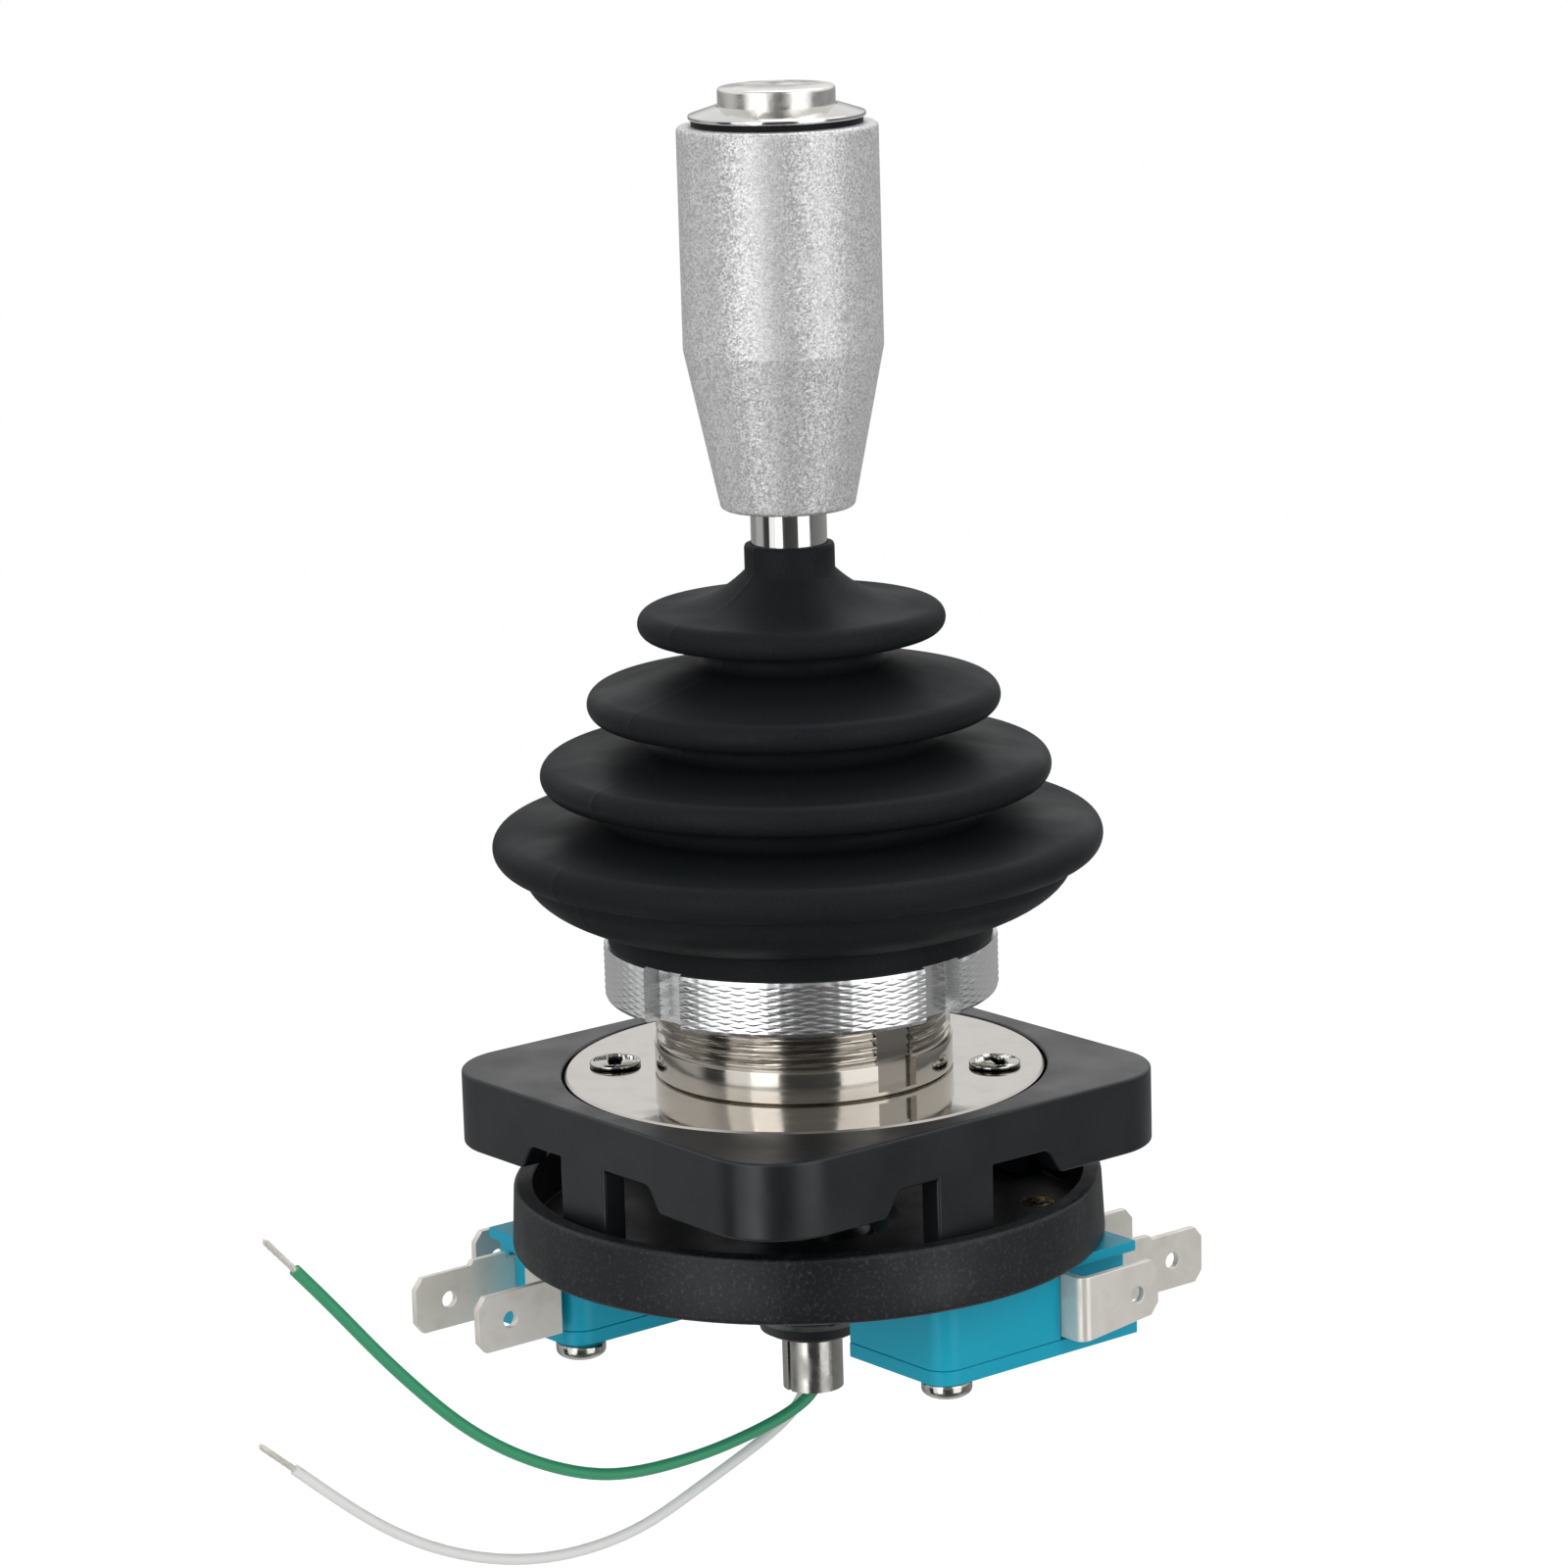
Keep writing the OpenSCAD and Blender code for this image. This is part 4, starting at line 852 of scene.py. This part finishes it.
@dataclass
class Lead:
    """One free tail of a lead: insulation on a curve, then a stripped and tinned end.

    The strands start hidden mm inside the insulation, and a strand may end up to two shortenings early.
    """

    name: str
    node: str
    radius: float
    finish: Finish
    route: tuple[Point, ...]
    exit_z: float = -35.8
    round_steps: int = 6
    knot_steps: int = 8
    strand_r: float = 0.12
    strand_sides: int = 8
    strand_steps: int = 16
    strands: int = 6
    shortening: float = 0.02
    lay_length: float = 5.0
    hidden: float = 1.5

    def knots(self) -> list[tuple[Vector, Vector, Vector]]:
        """Give the curve through the route as a cubic B-spline.

        Returns:
            The left handle, the point and the right handle of each knot.
        """
        p = [Vector(q) for q in self.route]
        p = [2 * p[0] - p[1]] + p + [2 * p[-1] - p[-2]]
        return [((a + 2 * b) / 3, (a + 4 * b + c) / 6, (2 * b + c) / 3) for a, b, c in zip(p, p[1:], p[2:])]

    def build(self) -> None:
        knots = self.knots()
        data = bpy.data.curves.new(self.name, "CURVE")
        data.dimensions = "3D"
        spline = data.splines.new("BEZIER")
        spline.bezier_points.add(len(knots) - 2)
        for spot, (left, middle, right) in zip(spline.bezier_points, knots[:-1]):
            spot.handle_left_type = spot.handle_right_type = "FREE"
            spot.handle_left, spot.co, spot.handle_right = left * MM, middle * MM, right * MM
        data.bevel_depth = self.radius * MM
        data.bevel_resolution = self.round_steps
        data.resolution_u = self.knot_steps
        data.use_fill_caps = True
        tail = link(self.name, data)
        data.materials.append(self.finish.material())
        set_down(tail, Body.LEVER, self.node)
        end = self.bare_end(knots)

    def bare_end(self, knots: list[tuple[Vector, Vector, Vector]]) -> bpy.types.Object:
        """Twist the tinned strands that stand out of the insulation.

        Args:
            knots: The knots of the whole route.

        Returns:
            The new piece.
        """
        start, stop = knots[-2][1], knots[-1][1]
        ahead = (stop - start).normalized()
        start = start - ahead * self.hidden
        side = ahead.orthogonal().normalized()
        across = ahead.cross(side)
        span = (stop - start).length
        draft = Draft()
        draft.sweep([start, stop], self.strand_r, self.strand_sides)
        for k in range(self.strands):
            path = []
            for i in range(self.strand_steps + 1):
                along = span * i / self.strand_steps * (1 - self.shortening * (k % 3))
                turn = 2 * math.pi * (k / self.strands + along / self.lay_length)
                off = 2 * self.strand_r * (math.cos(turn) * side + math.sin(turn) * across)
                path.append(start + ahead * along + off)
            draft.sweep(path, self.strand_r, self.strand_sides)
        return set_down(draft.piece(f"{self.name}_bare_end", TIN), Body.LEVER)


GREEN_LEAD = Lead("green_tail", "lead_green", 0.65, GREEN_PVC, (
    (0.8, 0, -33), (0.8, 0, -34.5), (0.75, -0.5, -36.3), (0.5, -2.5, -37.6), (0.1, -5.5, -38.7),
    (-0.4, -9.2, -39.6), (-0.9, -13.8, -40.4), (-1.6, -19.1, -40.8), (-2.4, -25.4, -40.7),
    (-3.1, -31.6, -38.7), (-3.9, -37.8, -35.4), (-4.6, -43.3, -31.3), (-5.2, -48.2, -26.3),
    (-5.7, -52.8, -21.2), (-6.3, -57.2, -15.7), (-6.8, -61.8, -10.4), (-7.2, -64.8, -7)))
WHITE_LEAD = Lead("white_tail", "lead_white", 0.6, WHITE_PVC, (
    (-0.8, 0, -33), (-0.8, 0, -34.4), (-0.85, -0.3, -36.2), (-1.1, -1.4, -38.2), (-1.6, -3.4, -40),
    (-2.3, -6.1, -41.7), (-3.3, -9.6, -43.7), (-4.3, -13.8, -45.9), (-5.6, -18.8, -48.6),
    (-7.1, -24.5, -50.1), (-8.8, -30.8, -50.4), (-10.3, -36.8, -49.2), (-11.8, -42.6, -46.9),
    (-13.2, -47.9, -43.6), (-14.4, -52.7, -39.5), (-15.6, -57.3, -35.2), (-16.5, -60.6, -32.2)))


@dataclass
class Bellows:
    """The rubber bellows with four folds, from its neck on the rod to its lip round the collar."""

    fold_r: tuple[float, ...] = (16.2, 21.8, 27.0, 32.3)
    fold_z: tuple[float, ...] = (48.5, 40.1, 32.6, 25.1)
    fold_h: tuple[float, ...] = (1.5, 1.6, 1.7, 1.9)
    fold_arc: Span = (78, -84)
    fold_steps: int = 18
    valley_r: tuple[float, ...] = (9.3, 15.0, 20.0)
    valley_round: float = 1.2
    valley_drop: float = 1.7
    valley_arc: Span = (94, 258)
    valley_steps: int = 14
    neck_r: float = 4.75
    neck_top: float = 56.7
    neck_h: float = 2.8
    neck_bend: float = 2.5
    neck_steps: int = 16
    rod_r: float = 4.05
    rubber: float = 1.0
    thinning: Span = (0.6, 0.85)
    foot_z: float = 14.6
    bead_h: float = 1.4
    bead_slope: float = 0.05
    lip_h: float = 2.6
    lip_r: float = 20.45
    lip_step: float = 0.4
    lip_groove: tuple[Span, ...] = ((-0.2, 0.0), (-0.22, -0.22), (-0.05, -0.32), (0.0, -0.4))
    bowl_bend: float = 1.25
    bowl_in: float = 1.4
    bowl_down: float = 1.3
    bowl_brim: tuple[Span, ...] = ((0.2, 1.0), (0.05, 0.4))
    bowl_angles: range = range(0, 88, 6)
    bowl_foot: tuple[Span, ...] = ((0.0, 0.1), (-0.1, 0.02))
    inner_brim: tuple[Span, ...] = ((0.2, 1.0), (0.0, 0.5))
    inner_angles: range = range(20, 81, 20)
    inner_rise: float = 0.9
    neck_round: float = 0.4
    groove_r: float = 15.03
    columns: int = 192
    parting_turn: float = -90.0
    parting_w: float = 0.45
    parting_h: float = 0.09
    parting_columns: tuple[float, ...] = (-0.8, -0.4, 0.4, 0.8)

    def folds(self, inset: float) -> list[Span]:
        """Give the profile of the folds from the neck down to the last fold.

        Args:
            inset: How far the profile lies inside the rubber's outer face.

        Returns:
            Radius and height of each point.
        """
        first_top = self.fold_z[0] + self.fold_h[0]
        reach = self.fold_r[0] - self.fold_h[0] - self.neck_r
        aside, down = (inset * share for share in self.thinning)
        points = []
        for i in range(self.neck_steps + 1):
            t = i / self.neck_steps
            radius = self.neck_r + reach * t - (aside if t else (self.neck_r - self.rod_r) * (inset > 0))
            height = first_top + (self.neck_top - self.neck_h - first_top) * (1 - t) ** self.neck_bend
            points.append((radius, height - (down if t else inset)))
        for k, (radius, height, half) in enumerate(zip(self.fold_r, self.fold_z, self.fold_h)):
            points += arc((radius - half, height), half - inset, self.fold_arc, self.fold_steps)
            if k < len(self.valley_r):
                middle = (self.valley_r[k] + self.valley_round, height - half - self.valley_drop)
                points += arc(middle, self.valley_round + inset, self.valley_arc, self.valley_steps)
        return points

    def profile(self) -> list[Span]:
        """Give the closed profile, down the outside and up the inside.

        Returns:
            Radius and height of each point.
        """
        bowl_z = self.fold_z[-1] - self.fold_h[-1] - self.bowl_down
        bowl_r = self.fold_r[-1] - self.fold_h[-1] - self.bowl_in
        low_z, low_r = self.foot_z + self.lip_h, self.lip_r + self.lip_step
        wall, bead_z = self.lip_r - self.rubber, self.foot_z + self.bead_h

        def bowl(radius: float, top: float, degrees: float) -> Span:
            """Give a point of the bowl's curve.

            Args:
                radius: Where the curve ends.
                top: The height that it starts at.
                degrees: How far along it the point lies, from 0 to 90.

            Returns:
                Radius and height of the point.
            """
            c, s = math.cos(math.radians(degrees)), math.sin(math.radians(degrees))
            out = (bowl_r - low_r) * c ** self.bowl_bend
            return radius + out, top - (bowl_z - low_z) * s ** self.bowl_bend

        neck = ((self.neck_round, 0), (self.neck_round / 4, self.neck_round / 4), (0, self.neck_round))
        outer = [(self.neck_r - aside, self.neck_top - down) for aside, down in neck]
        outer += self.folds(0)
        outer += [(bowl_r + aside, bowl_z + up) for aside, up in self.bowl_brim]
        outer += [bowl(low_r, bowl_z, degrees) for degrees in self.bowl_angles]
        outer += [(low_r + aside, low_z + up) for aside, up in self.bowl_foot]
        outer += [(self.lip_r + aside, low_z + up) for aside, up in self.lip_groove]
        outer += [(self.lip_r, self.foot_z)]
        inner = [(self.rod_r, self.neck_top)] + self.folds(self.rubber)
        inner += [(bowl_r + aside - self.rubber, bowl_z + up) for aside, up in self.inner_brim]
        inner += [bowl(wall, bowl_z + self.inner_rise, degrees) for degrees in self.inner_angles]
        inner += [(wall, low_z), (wall, bead_z), (self.groove_r, bead_z - self.bead_slope)]
        inner += [(self.groove_r, self.foot_z)]
        return outer + inner[::-1]

    def parting(self, spot: Spot) -> float:
        """Give the radius with the fine ridge that the two halves of the mould leave.

        Args:
            spot: A point of the profile, turned to its column.

        Returns:
            The radius to use.
        """
        turn = spot.angle - math.radians(self.parting_turn)
        off = abs((turn + math.pi) % (2 * math.pi) - math.pi) * spot.radius
        ridge = self.parting_h * max(1 - off / self.parting_w, 0)
        return spot.radius + ridge if spot.height > self.foot_z else spot.radius

    def build(self) -> None:
        """Make the bellows in place of the CAD node."""
        draft = Draft()
        middle = math.radians(self.parting_turn) % (2 * math.pi)
        beside = [middle + math.radians(degrees) for degrees in self.parting_columns]
        angles = sorted(circle(self.columns) + beside)
        draft.skin(turned(self.profile(), angles, self.parting), closed=True)
        piece = draft.piece("rubber_bellows", RUBBER, smooth_below=60)
        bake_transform(piece)
        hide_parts("bellows")
        LOG.info("%s: bends from base to lever", piece.name)


@dataclass
class Spring:
    """A compression spring, wound in place where it stands between two of the bodies."""

    name: str
    node: str
    low_r: float
    top_r: float
    wire_r: float
    low_z: float
    top_z: float
    turns: int
    bodies: tuple[Body, Body]
    per_turn: int = 28
    sides: int = 10

    def build(self) -> None:
        """Wind the spring with closed ends."""
        steps = self.turns * self.per_turn
        rise = self.top_z - self.low_z - 4 * self.wire_r
        path = []
        for i in range(steps + 1):
            t = i / steps
            q = self.turns * t
            wound = min(max((q - 1) / (self.turns - 2), 0), 1)
            ends = min(q, 1) + min(max(q - self.turns + 1, 0), 1)
            radius = self.low_r + (self.top_r - self.low_r) * t
            turn = 2 * math.pi * q
            height = self.low_z + self.wire_r * (1 + ends) + rise * wound
            path.append(Vector((radius * math.cos(turn), radius * math.sin(turn), height)))
        draft = Draft()
        draft.sweep(path, self.wire_r, self.sides)
        piece = draft.piece(self.name, WIRE)
        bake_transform(piece)
        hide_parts(self.node)


BUTTON_SPRING = Spring("button_return_spring", "button_spring", low_r=4.4, top_r=4.4, wire_r=0.35,
                       low_z=89.5, top_z=103.3, turns=8, bodies=(Body.LEVER, Body.BUTTON))
CENTRING_SPRING = Spring("lever_centring_spring", "centring_spring", low_r=8.4, top_r=6.8, wire_r=0.75,
                         low_z=4.0, top_z=20.0, turns=7, bodies=(Body.BASE, Body.LEVER))


@dataclass
class CollarAndNut:
    """The nickel collar with its thread and keyway, and the knurled ring nut on it.

    The thread goes on a little way into the nut, where nothing shows it.
    """

    collar_r: float = 15.9
    collar_columns: int = 240
    foot_chamfer: float = 0.25
    foot_gap: float = 0.02
    foot_r: float = 15.6
    bore_r: float = 11.5
    smooth_h: float = 3.5
    smooth_break: Span = (0.05, 0.15)
    thread_r: float = 15.7
    thread_depth: float = 0.5
    thread_row: float = 0.08
    pitch: float = 1.0
    flank: Span = (0.15, 0.7)
    undercut: float = 0.35
    undercut_z: tuple[float, float, float] = (0.02, 0.3, 0.36)
    thread_from: float = 0.4
    thread_past: Span = (1.0, 1.6)
    run_in: float = 0.3
    groove_r: float = 15.0
    groove_h: float = 1.4
    collar_top: float = 17.3
    top_taper: Span = (0.3, 0.6)
    disc_t: float = 1.6
    keyway_w: float = 4.4
    keyway_d: float = 1.0
    keyway_z: float = 0.6
    keyway_columns: int = 12
    nut_r: float = 20.95
    nut_z: float = 8.6
    nut_top: float = 14.6
    nut_chamfer: float = 0.45
    nut_bow: float = 0.3
    nut_gap: float = 0.03
    slot_w: float = 4.8
    slot_d: float = 2.2
    slot_turn: float = 6.3
    slots: int = 4
    slot_columns: int = 12
    land_columns: int = 150
    knurl_rise: float = 0.7
    knurls: int = 44
    knurl_depth: float = 0.06
    knurl_flank: float = 0.75
    knurl_rows: int = 90

    def thread(self, spot: Spot) -> float:
        """Give the radius of the one-start thread.

        Args:
            spot: A point of the profile, turned to its column.

        Returns:
            The thread's radius there.
        """
        phase = (spot.height / self.pitch - spot.angle / (2 * math.pi)) % 1
        ramp = 1 - abs(2 * phase - 1)
        low, width = self.flank
        return self.thread_r - self.thread_depth * (1 - min(max((ramp - low) / width, 0), 1))

    def collar_cut(self, spot: Spot) -> float:
        """Give the collar's radius with its thread and keyway.

        Args:
            spot: A point of the profile, turned to its column.

        Returns:
            The radius to use.
        """
        radius, first = spot.radius, self.smooth_h + self.undercut
        if first < spot.height < self.nut_z + self.thread_past[1]:
            start = min(max((spot.height - first) / self.run_in, 0), 1)
            radius = min(radius, radius + (self.thread(spot) - radius) * start)
        off = abs((spot.angle + math.pi) % (2 * math.pi) - math.pi)
        inside = self.keyway_z < spot.height < self.nut_top and off < self.key_angle()
        if radius > self.groove_r and inside:
            return min(radius, (self.collar_r - self.keyway_d) / math.cos(off))
        return radius

    def key_angle(self) -> float:
        """Give the angle from the keyway's middle to its wall, in radians."""
        return math.asin(self.keyway_w / 2 / (self.collar_r - self.keyway_d))

    def build_collar(self) -> None:
        """Turn the collar, cut its thread and mill its keyway."""
        edge = self.key_angle()
        narrow, wide = self.keyway_columns, self.collar_columns
        inside = [edge * (2 * k / narrow - 1) for k in range(narrow + 1)]
        inside[0], inside[-1] = -edge + HAIR_ANGLE, edge - HAIR_ANGLE
        rest = [edge + (2 * math.pi - 2 * edge) * k / wide for k in range(wide + 1)]
        low, top, full = self.smooth_h, self.nut_top, self.collar_r
        crest, root = self.thread_r, self.thread_r - self.undercut
        wall = [(self.foot_r, -self.disc_t), (self.foot_r, 0), (full - self.foot_chamfer, self.foot_gap)]
        wall += [(full, self.foot_chamfer), (full, self.keyway_z), (full, self.keyway_z + HAIR)]
        wall += [(full, low - self.smooth_break[1]), (full - self.smooth_break[0], low)]
        wall += [(radius, low + up) for radius, up in zip((root, root, crest), self.undercut_z)]
        rows = int((self.nut_z + self.thread_past[0] - low - self.thread_from) / self.thread_row)
        wall += [(crest, low + self.thread_from + self.thread_row * k) for k in range(rows)]
        wall += [(crest, self.nut_z + self.thread_past[1]), (crest, top - HAIR), (crest, top)]
        (near, far), brim = self.top_taper, top + self.groove_h
        wall += [(self.groove_r, top), (self.groove_r, brim), (crest - near, brim)]
        wall += [(crest - far, self.collar_top), (self.bore_r, self.collar_top), (self.bore_r, -self.disc_t)]
        draft = Draft()
        draft.skin(turned(wall, inside + rest, self.collar_cut), closed=True)
        piece = draft.piece("nickel_collar", TURNED_NICKEL, smooth_below=30)
        set_down(piece, Body.BASE, "threaded_collar")

    def nut_cut(self, spot: Spot) -> float:
        """Give the nut's radius with its slots and its knurl of long, low diamonds.

        Args:
            spot: A point of the profile, turned to its column.

        Returns:
            The radius to use.
        """
        step = 2 * math.pi / self.slots
        off = abs((spot.angle - math.radians(self.slot_turn) + step / 2) % step - step / 2)
        if off < self.slot_angle():
            return min(spot.radius, (self.nut_r - self.slot_d) / math.cos(off))
        if spot.radius < self.nut_r - HAIR:
            return spot.radius
        around = self.knurls * spot.angle / (2 * math.pi)
        lines = (spot.height / self.knurl_rise + around * way for way in (1, -1))
        rise = min(min(abs(2 * (line % 1) - 1) for line in lines) / self.knurl_flank, 1)
        return spot.radius - self.knurl_depth * (1 - rise * rise * (3 - 2 * rise))

    def slot_angle(self) -> float:
        """Give the angle from a slot's middle to its wall, in radians."""
        return math.asin(self.slot_w / 2 / (self.nut_r - self.slot_d / 2))

    def build_nut(self) -> None:
        """Turn the ring nut, knurl it and mill its spanner slots."""
        edge, step = self.slot_angle(), 2 * math.pi / self.slots
        narrow, wide = self.slot_columns, self.land_columns
        angles = []
        for s in range(self.slots):
            middle = math.radians(self.slot_turn) + step * s
            angles += [middle + (edge - HAIR_ANGLE) * (2 * k / narrow - 1) for k in range(narrow + 1)]
            angles += [middle + edge + (step - 2 * edge) * k / wide for k in range(wide + 1)]
        low, top, c, radius = self.nut_z, self.nut_top, self.nut_chamfer, self.nut_r
        bore, slot, count = self.thread_r + self.nut_gap, radius - self.slot_d, self.knurl_rows
        bow = c * self.nut_bow
        wall = [(bore, low + c), (bore + c, low), (slot, low), (radius - c, low)]
        wall += [(radius - bow, low + bow)]
        wall += [(radius, low + c + (top - low - 2 * c) * k / count) for k in range(count + 1)]
        wall += [(radius - bow, top - bow), (radius - c, top), (slot, top), (bore, top)]
        draft = Draft()
        draft.skin(turned(wall, angles, self.nut_cut), closed=True)
        set_down(draft.piece("knurled_ring_nut", ALUMINIUM, smooth_below=40), Body.BASE, "ring_nut")

    def build(self) -> None:
        """Build the collar, the nut and the disc under them."""
        self.build_collar()
        self.build_nut()
        dress(NICKEL, "seat_disc")
        dress(NYLON, "pivot_housing")
        dress(ZINC, "spring_seat", "trunnions")


@dataclass
class CrossScrew:
    """A screw with a domed head and a cross recess, head up at the origin."""

    head_r: float
    side_h: float
    dome_h: float
    recess_r: float
    recess_w: float
    recess_d: float
    shank_r: float
    shank_l: float
    tip_r: float = 0.01
    edge: float = 0.12
    wall: Span = (0.12, 0.15)
    narrowing: float = 0.35
    rising: float = 0.45
    dome_arc: Span = (12, 90)
    dome_steps: int = 27
    sides: int = 72

    def recess(self, x: float, y: float, turn: float) -> float:
        """Give the depth of the cross recess under a point of the head.

        Args:
            x: The point's place across the head.
            y: The same, at right angles.
            turn: The turn of the cross, in radians.

        Returns:
            The depth.
        """
        u = abs(x * math.cos(turn) + y * math.sin(turn))
        v = abs(-x * math.sin(turn) + y * math.cos(turn))
        along, across = max(u, v), min(u, v)
        width = self.recess_w * (1 - self.narrowing * along / self.recess_r)
        inside = min(max((width - across) / self.wall[0], 0), 1)
        inside *= min(max((self.recess_r - along) / self.wall[1], 0), 1)
        return inside * self.recess_d * (1 - self.rising * along / self.recess_r)

    def add(self, draft: Draft, place: Point, down: bool, turn: float) -> None:
        """Add one screw to a draft.

        Args:
            draft: The draft that takes it.
            place: Where the middle of the head's underside lies.
            down: Whether the head points down.
            turn: The turn of its cross, in radians.
        """
        flip = -1 if down else 1
        dome = [(self.head_r * c, self.side_h + self.dome_h * s)
                for c, s in arc((0, 0), 1, self.dome_arc, self.dome_steps)]
        low = [(self.tip_r, -self.shank_l), (self.shank_r, -self.shank_l), (self.shank_r, 0)]
        low += [(self.head_r - self.edge, 0), (self.head_r, self.edge), (self.head_r, self.side_h)]
        rows = []
        for row in turned(low, circle(self.sides)):
            rows.append([(place[0] + x, place[1] + y, place[2] + flip * z) for x, y, z in row])
        for row in turned(dome, circle(self.sides)):
            sunk = [(x, y, z - self.recess(x, y, turn)) for x, y, z in row]
            rows.append([(place[0] + x, place[1] + y, place[2] + flip * z) for x, y, z in sunk])
        draft.skin(rows)
        draft.cap(rows[-1], down)


SEAT_DISC_SCREW = CrossScrew(head_r=2.75, side_h=0.35, dome_h=0.55, recess_r=2.3, recess_w=0.9,
                             recess_d=1.4, shank_r=1.5, shank_l=7.2)
SWITCH_SCREW = CrossScrew(head_r=2.7, side_h=0.9, dome_h=1.1, recess_r=1.75, recess_w=0.5,
                          recess_d=1.1, shank_r=1.4, shank_l=12.2)


@dataclass
class PlateAndCup:
    """The square plate with its legs, the cup under it and the screws that show."""

    edge: float = 0.35
    edge_outside: float = 25.0
    cup_edge: float = 0.2
    screw_at: float = 14.4
    screw_turns: tuple[tuple[int, float], ...] = ((-1, 0.9), (1, 1.25))
    rim_r: Span = (9.75, 10.75)
    rim_z: Span = (-21.2, -18.6)
    rim_span: Span = (52.0, 128.0)
    rim_chamfer: float = 0.3
    rim_steps: int = 40

    def build(self) -> None:
        """Dress the plate and the cup, and set the seat disc's two screws."""
        soften("mounting_plate", Body.BASE, NYLON, self.edge, self.edge_outside)
        soften("switch_cup", Body.BASE, COARSE_NYLON, self.cup_edge)
        dress(ZINC, "cup_screws")
        dress(BRASS, "cup_inserts")
        draft = Draft()
        for half, turn in self.screw_turns:
            SEAT_DISC_SCREW.add(draft, (half * self.screw_at, half * self.screw_at, 0), False, turn)
        piece = draft.piece("disc_cross_screws", DISC_SCREW, smooth_below=50)
        set_down(piece, Body.BASE, "disc_screws")
        self.build_shade_arcs()

    def build_shade_arcs(self) -> None:
        """Add two black nylon arcs in the cup's opening between the switches, as painted shade: a dark face
        in the gap between cup and plate.
        """
        (near, far), (low, top), c = self.rim_r, self.rim_z, self.rim_chamfer
        section = [(near, top), (near, low + c), (near + c, low), (far - c, low), (far, low + c), (far, top)]
        draft = Draft()
        for half in (0, 180):
            first, last = (math.radians(half + a) for a in self.rim_span)
            angles = [first + (last - first) * k / self.rim_steps for k in range(self.rim_steps + 1)]
            rows = turned(section, angles)
            draft.skin([list(column) for column in zip(*rows)])
            draft.cap([row[0] for row in rows], flip=True)
            draft.cap([row[-1] for row in rows])
        set_down(draft.piece("cup_opening_dark_arcs", NYLON), Body.BASE)


@dataclass
class SnapSwitches:
    """The two snap switches, each a half turn from the other."""

    case_z: float = -29.1
    screws: tuple[Span, ...] = ((23.6, -1.1), (13.4, 21.1))
    first_turn: float = 0.6
    case_edge: float = 0.22
    cover_edge: float = 0.1
    blade_edge: float = 0.1

    def build(self) -> None:
        """Dress both switches and set their four screws."""
        for side in Side:
            soften(f"switch_case_{side.value}", Body.BASE, TEAL, self.case_edge)
            soften(f"switch_cover_{side.value}", Body.BASE, TEAL, self.cover_edge)
            for contact in ("com", "no", "nc"):
                soften(f"{contact}_terminal_{side.value}", Body.BASE, TIN, self.blade_edge)
            dress(BRASS, f"snap_blade_{side.value}")
            dress(IVORY, f"plunger_{side.value}")
            LOG.info("%s switch: case, cover and blades rounded", side.value)
        draft = Draft()
        for half in (1, -1):
            for x, y in self.screws:
                turn = self.first_turn + half * x
                SWITCH_SCREW.add(draft, (half * x, half * y, self.case_z), True, turn)
        piece = draft.piece("switch_cross_screws", SCREW, smooth_below=50)
        set_down(piece, Body.BASE, "switch_screws")


@dataclass
class Lever:
    """The lever from the grip down to the tube that the leads leave by."""

    finishes: tuple[tuple[Finish, tuple[str, ...]], ...] = (
        (SILVER, ("grip",)),
        (CHROME, ("lever_rod",)),
        (ZINC, ("spring_retainer", "pivot_hub")),
        (NYLON, ("actuator_cam",)),
        (DULL_NICKEL, ("lower_tube",)),
        (GREEN_PVC, ("inner_lead_green",)),
        (WHITE_PVC, ("inner_lead_white",)))

    def build(self) -> None:
        """Dress the lever's pieces, whose CAD shapes are right."""
        for finish, nodes in self.finishes:
            dress(finish, *nodes)


@dataclass
class ThumbButton:
    """The push button on top of the grip."""

    cap_edge: float = 0.4
    bezel_edge: float = 0.12

    def build(self) -> None:
        """Dress the button and wind its spring."""
        soften("button_cap", Body.BUTTON, SATIN_NICKEL, self.cap_edge)
        soften("button_bezel", Body.LEVER, BUFFED_NICKEL, self.bezel_edge)
        dress(RUBBER, "button_gasket")
        dress(IVORY, "button_contacts")
        dress(BRASS, "button_pins")
        BUTTON_SPRING.build()


def main() -> None:
    """Build the picture: camera and cords first, then each sub-assembly."""
    logging.basicConfig(level=logging.INFO, format="%(message)s")
    studio = Studio()
    studio.camera()
    for lead in (GREEN_LEAD, WHITE_LEAD):
        lead.build()
    for assembly in (ThumbButton(), Lever(), Bellows(), CollarAndNut(), PlateAndCup(), SnapSwitches()):
        assembly.build()
        LOG.info("%s done", type(assembly).__name__)
    CENTRING_SPRING.build()
    studio.light()


if __name__ == "__main__":
    main()
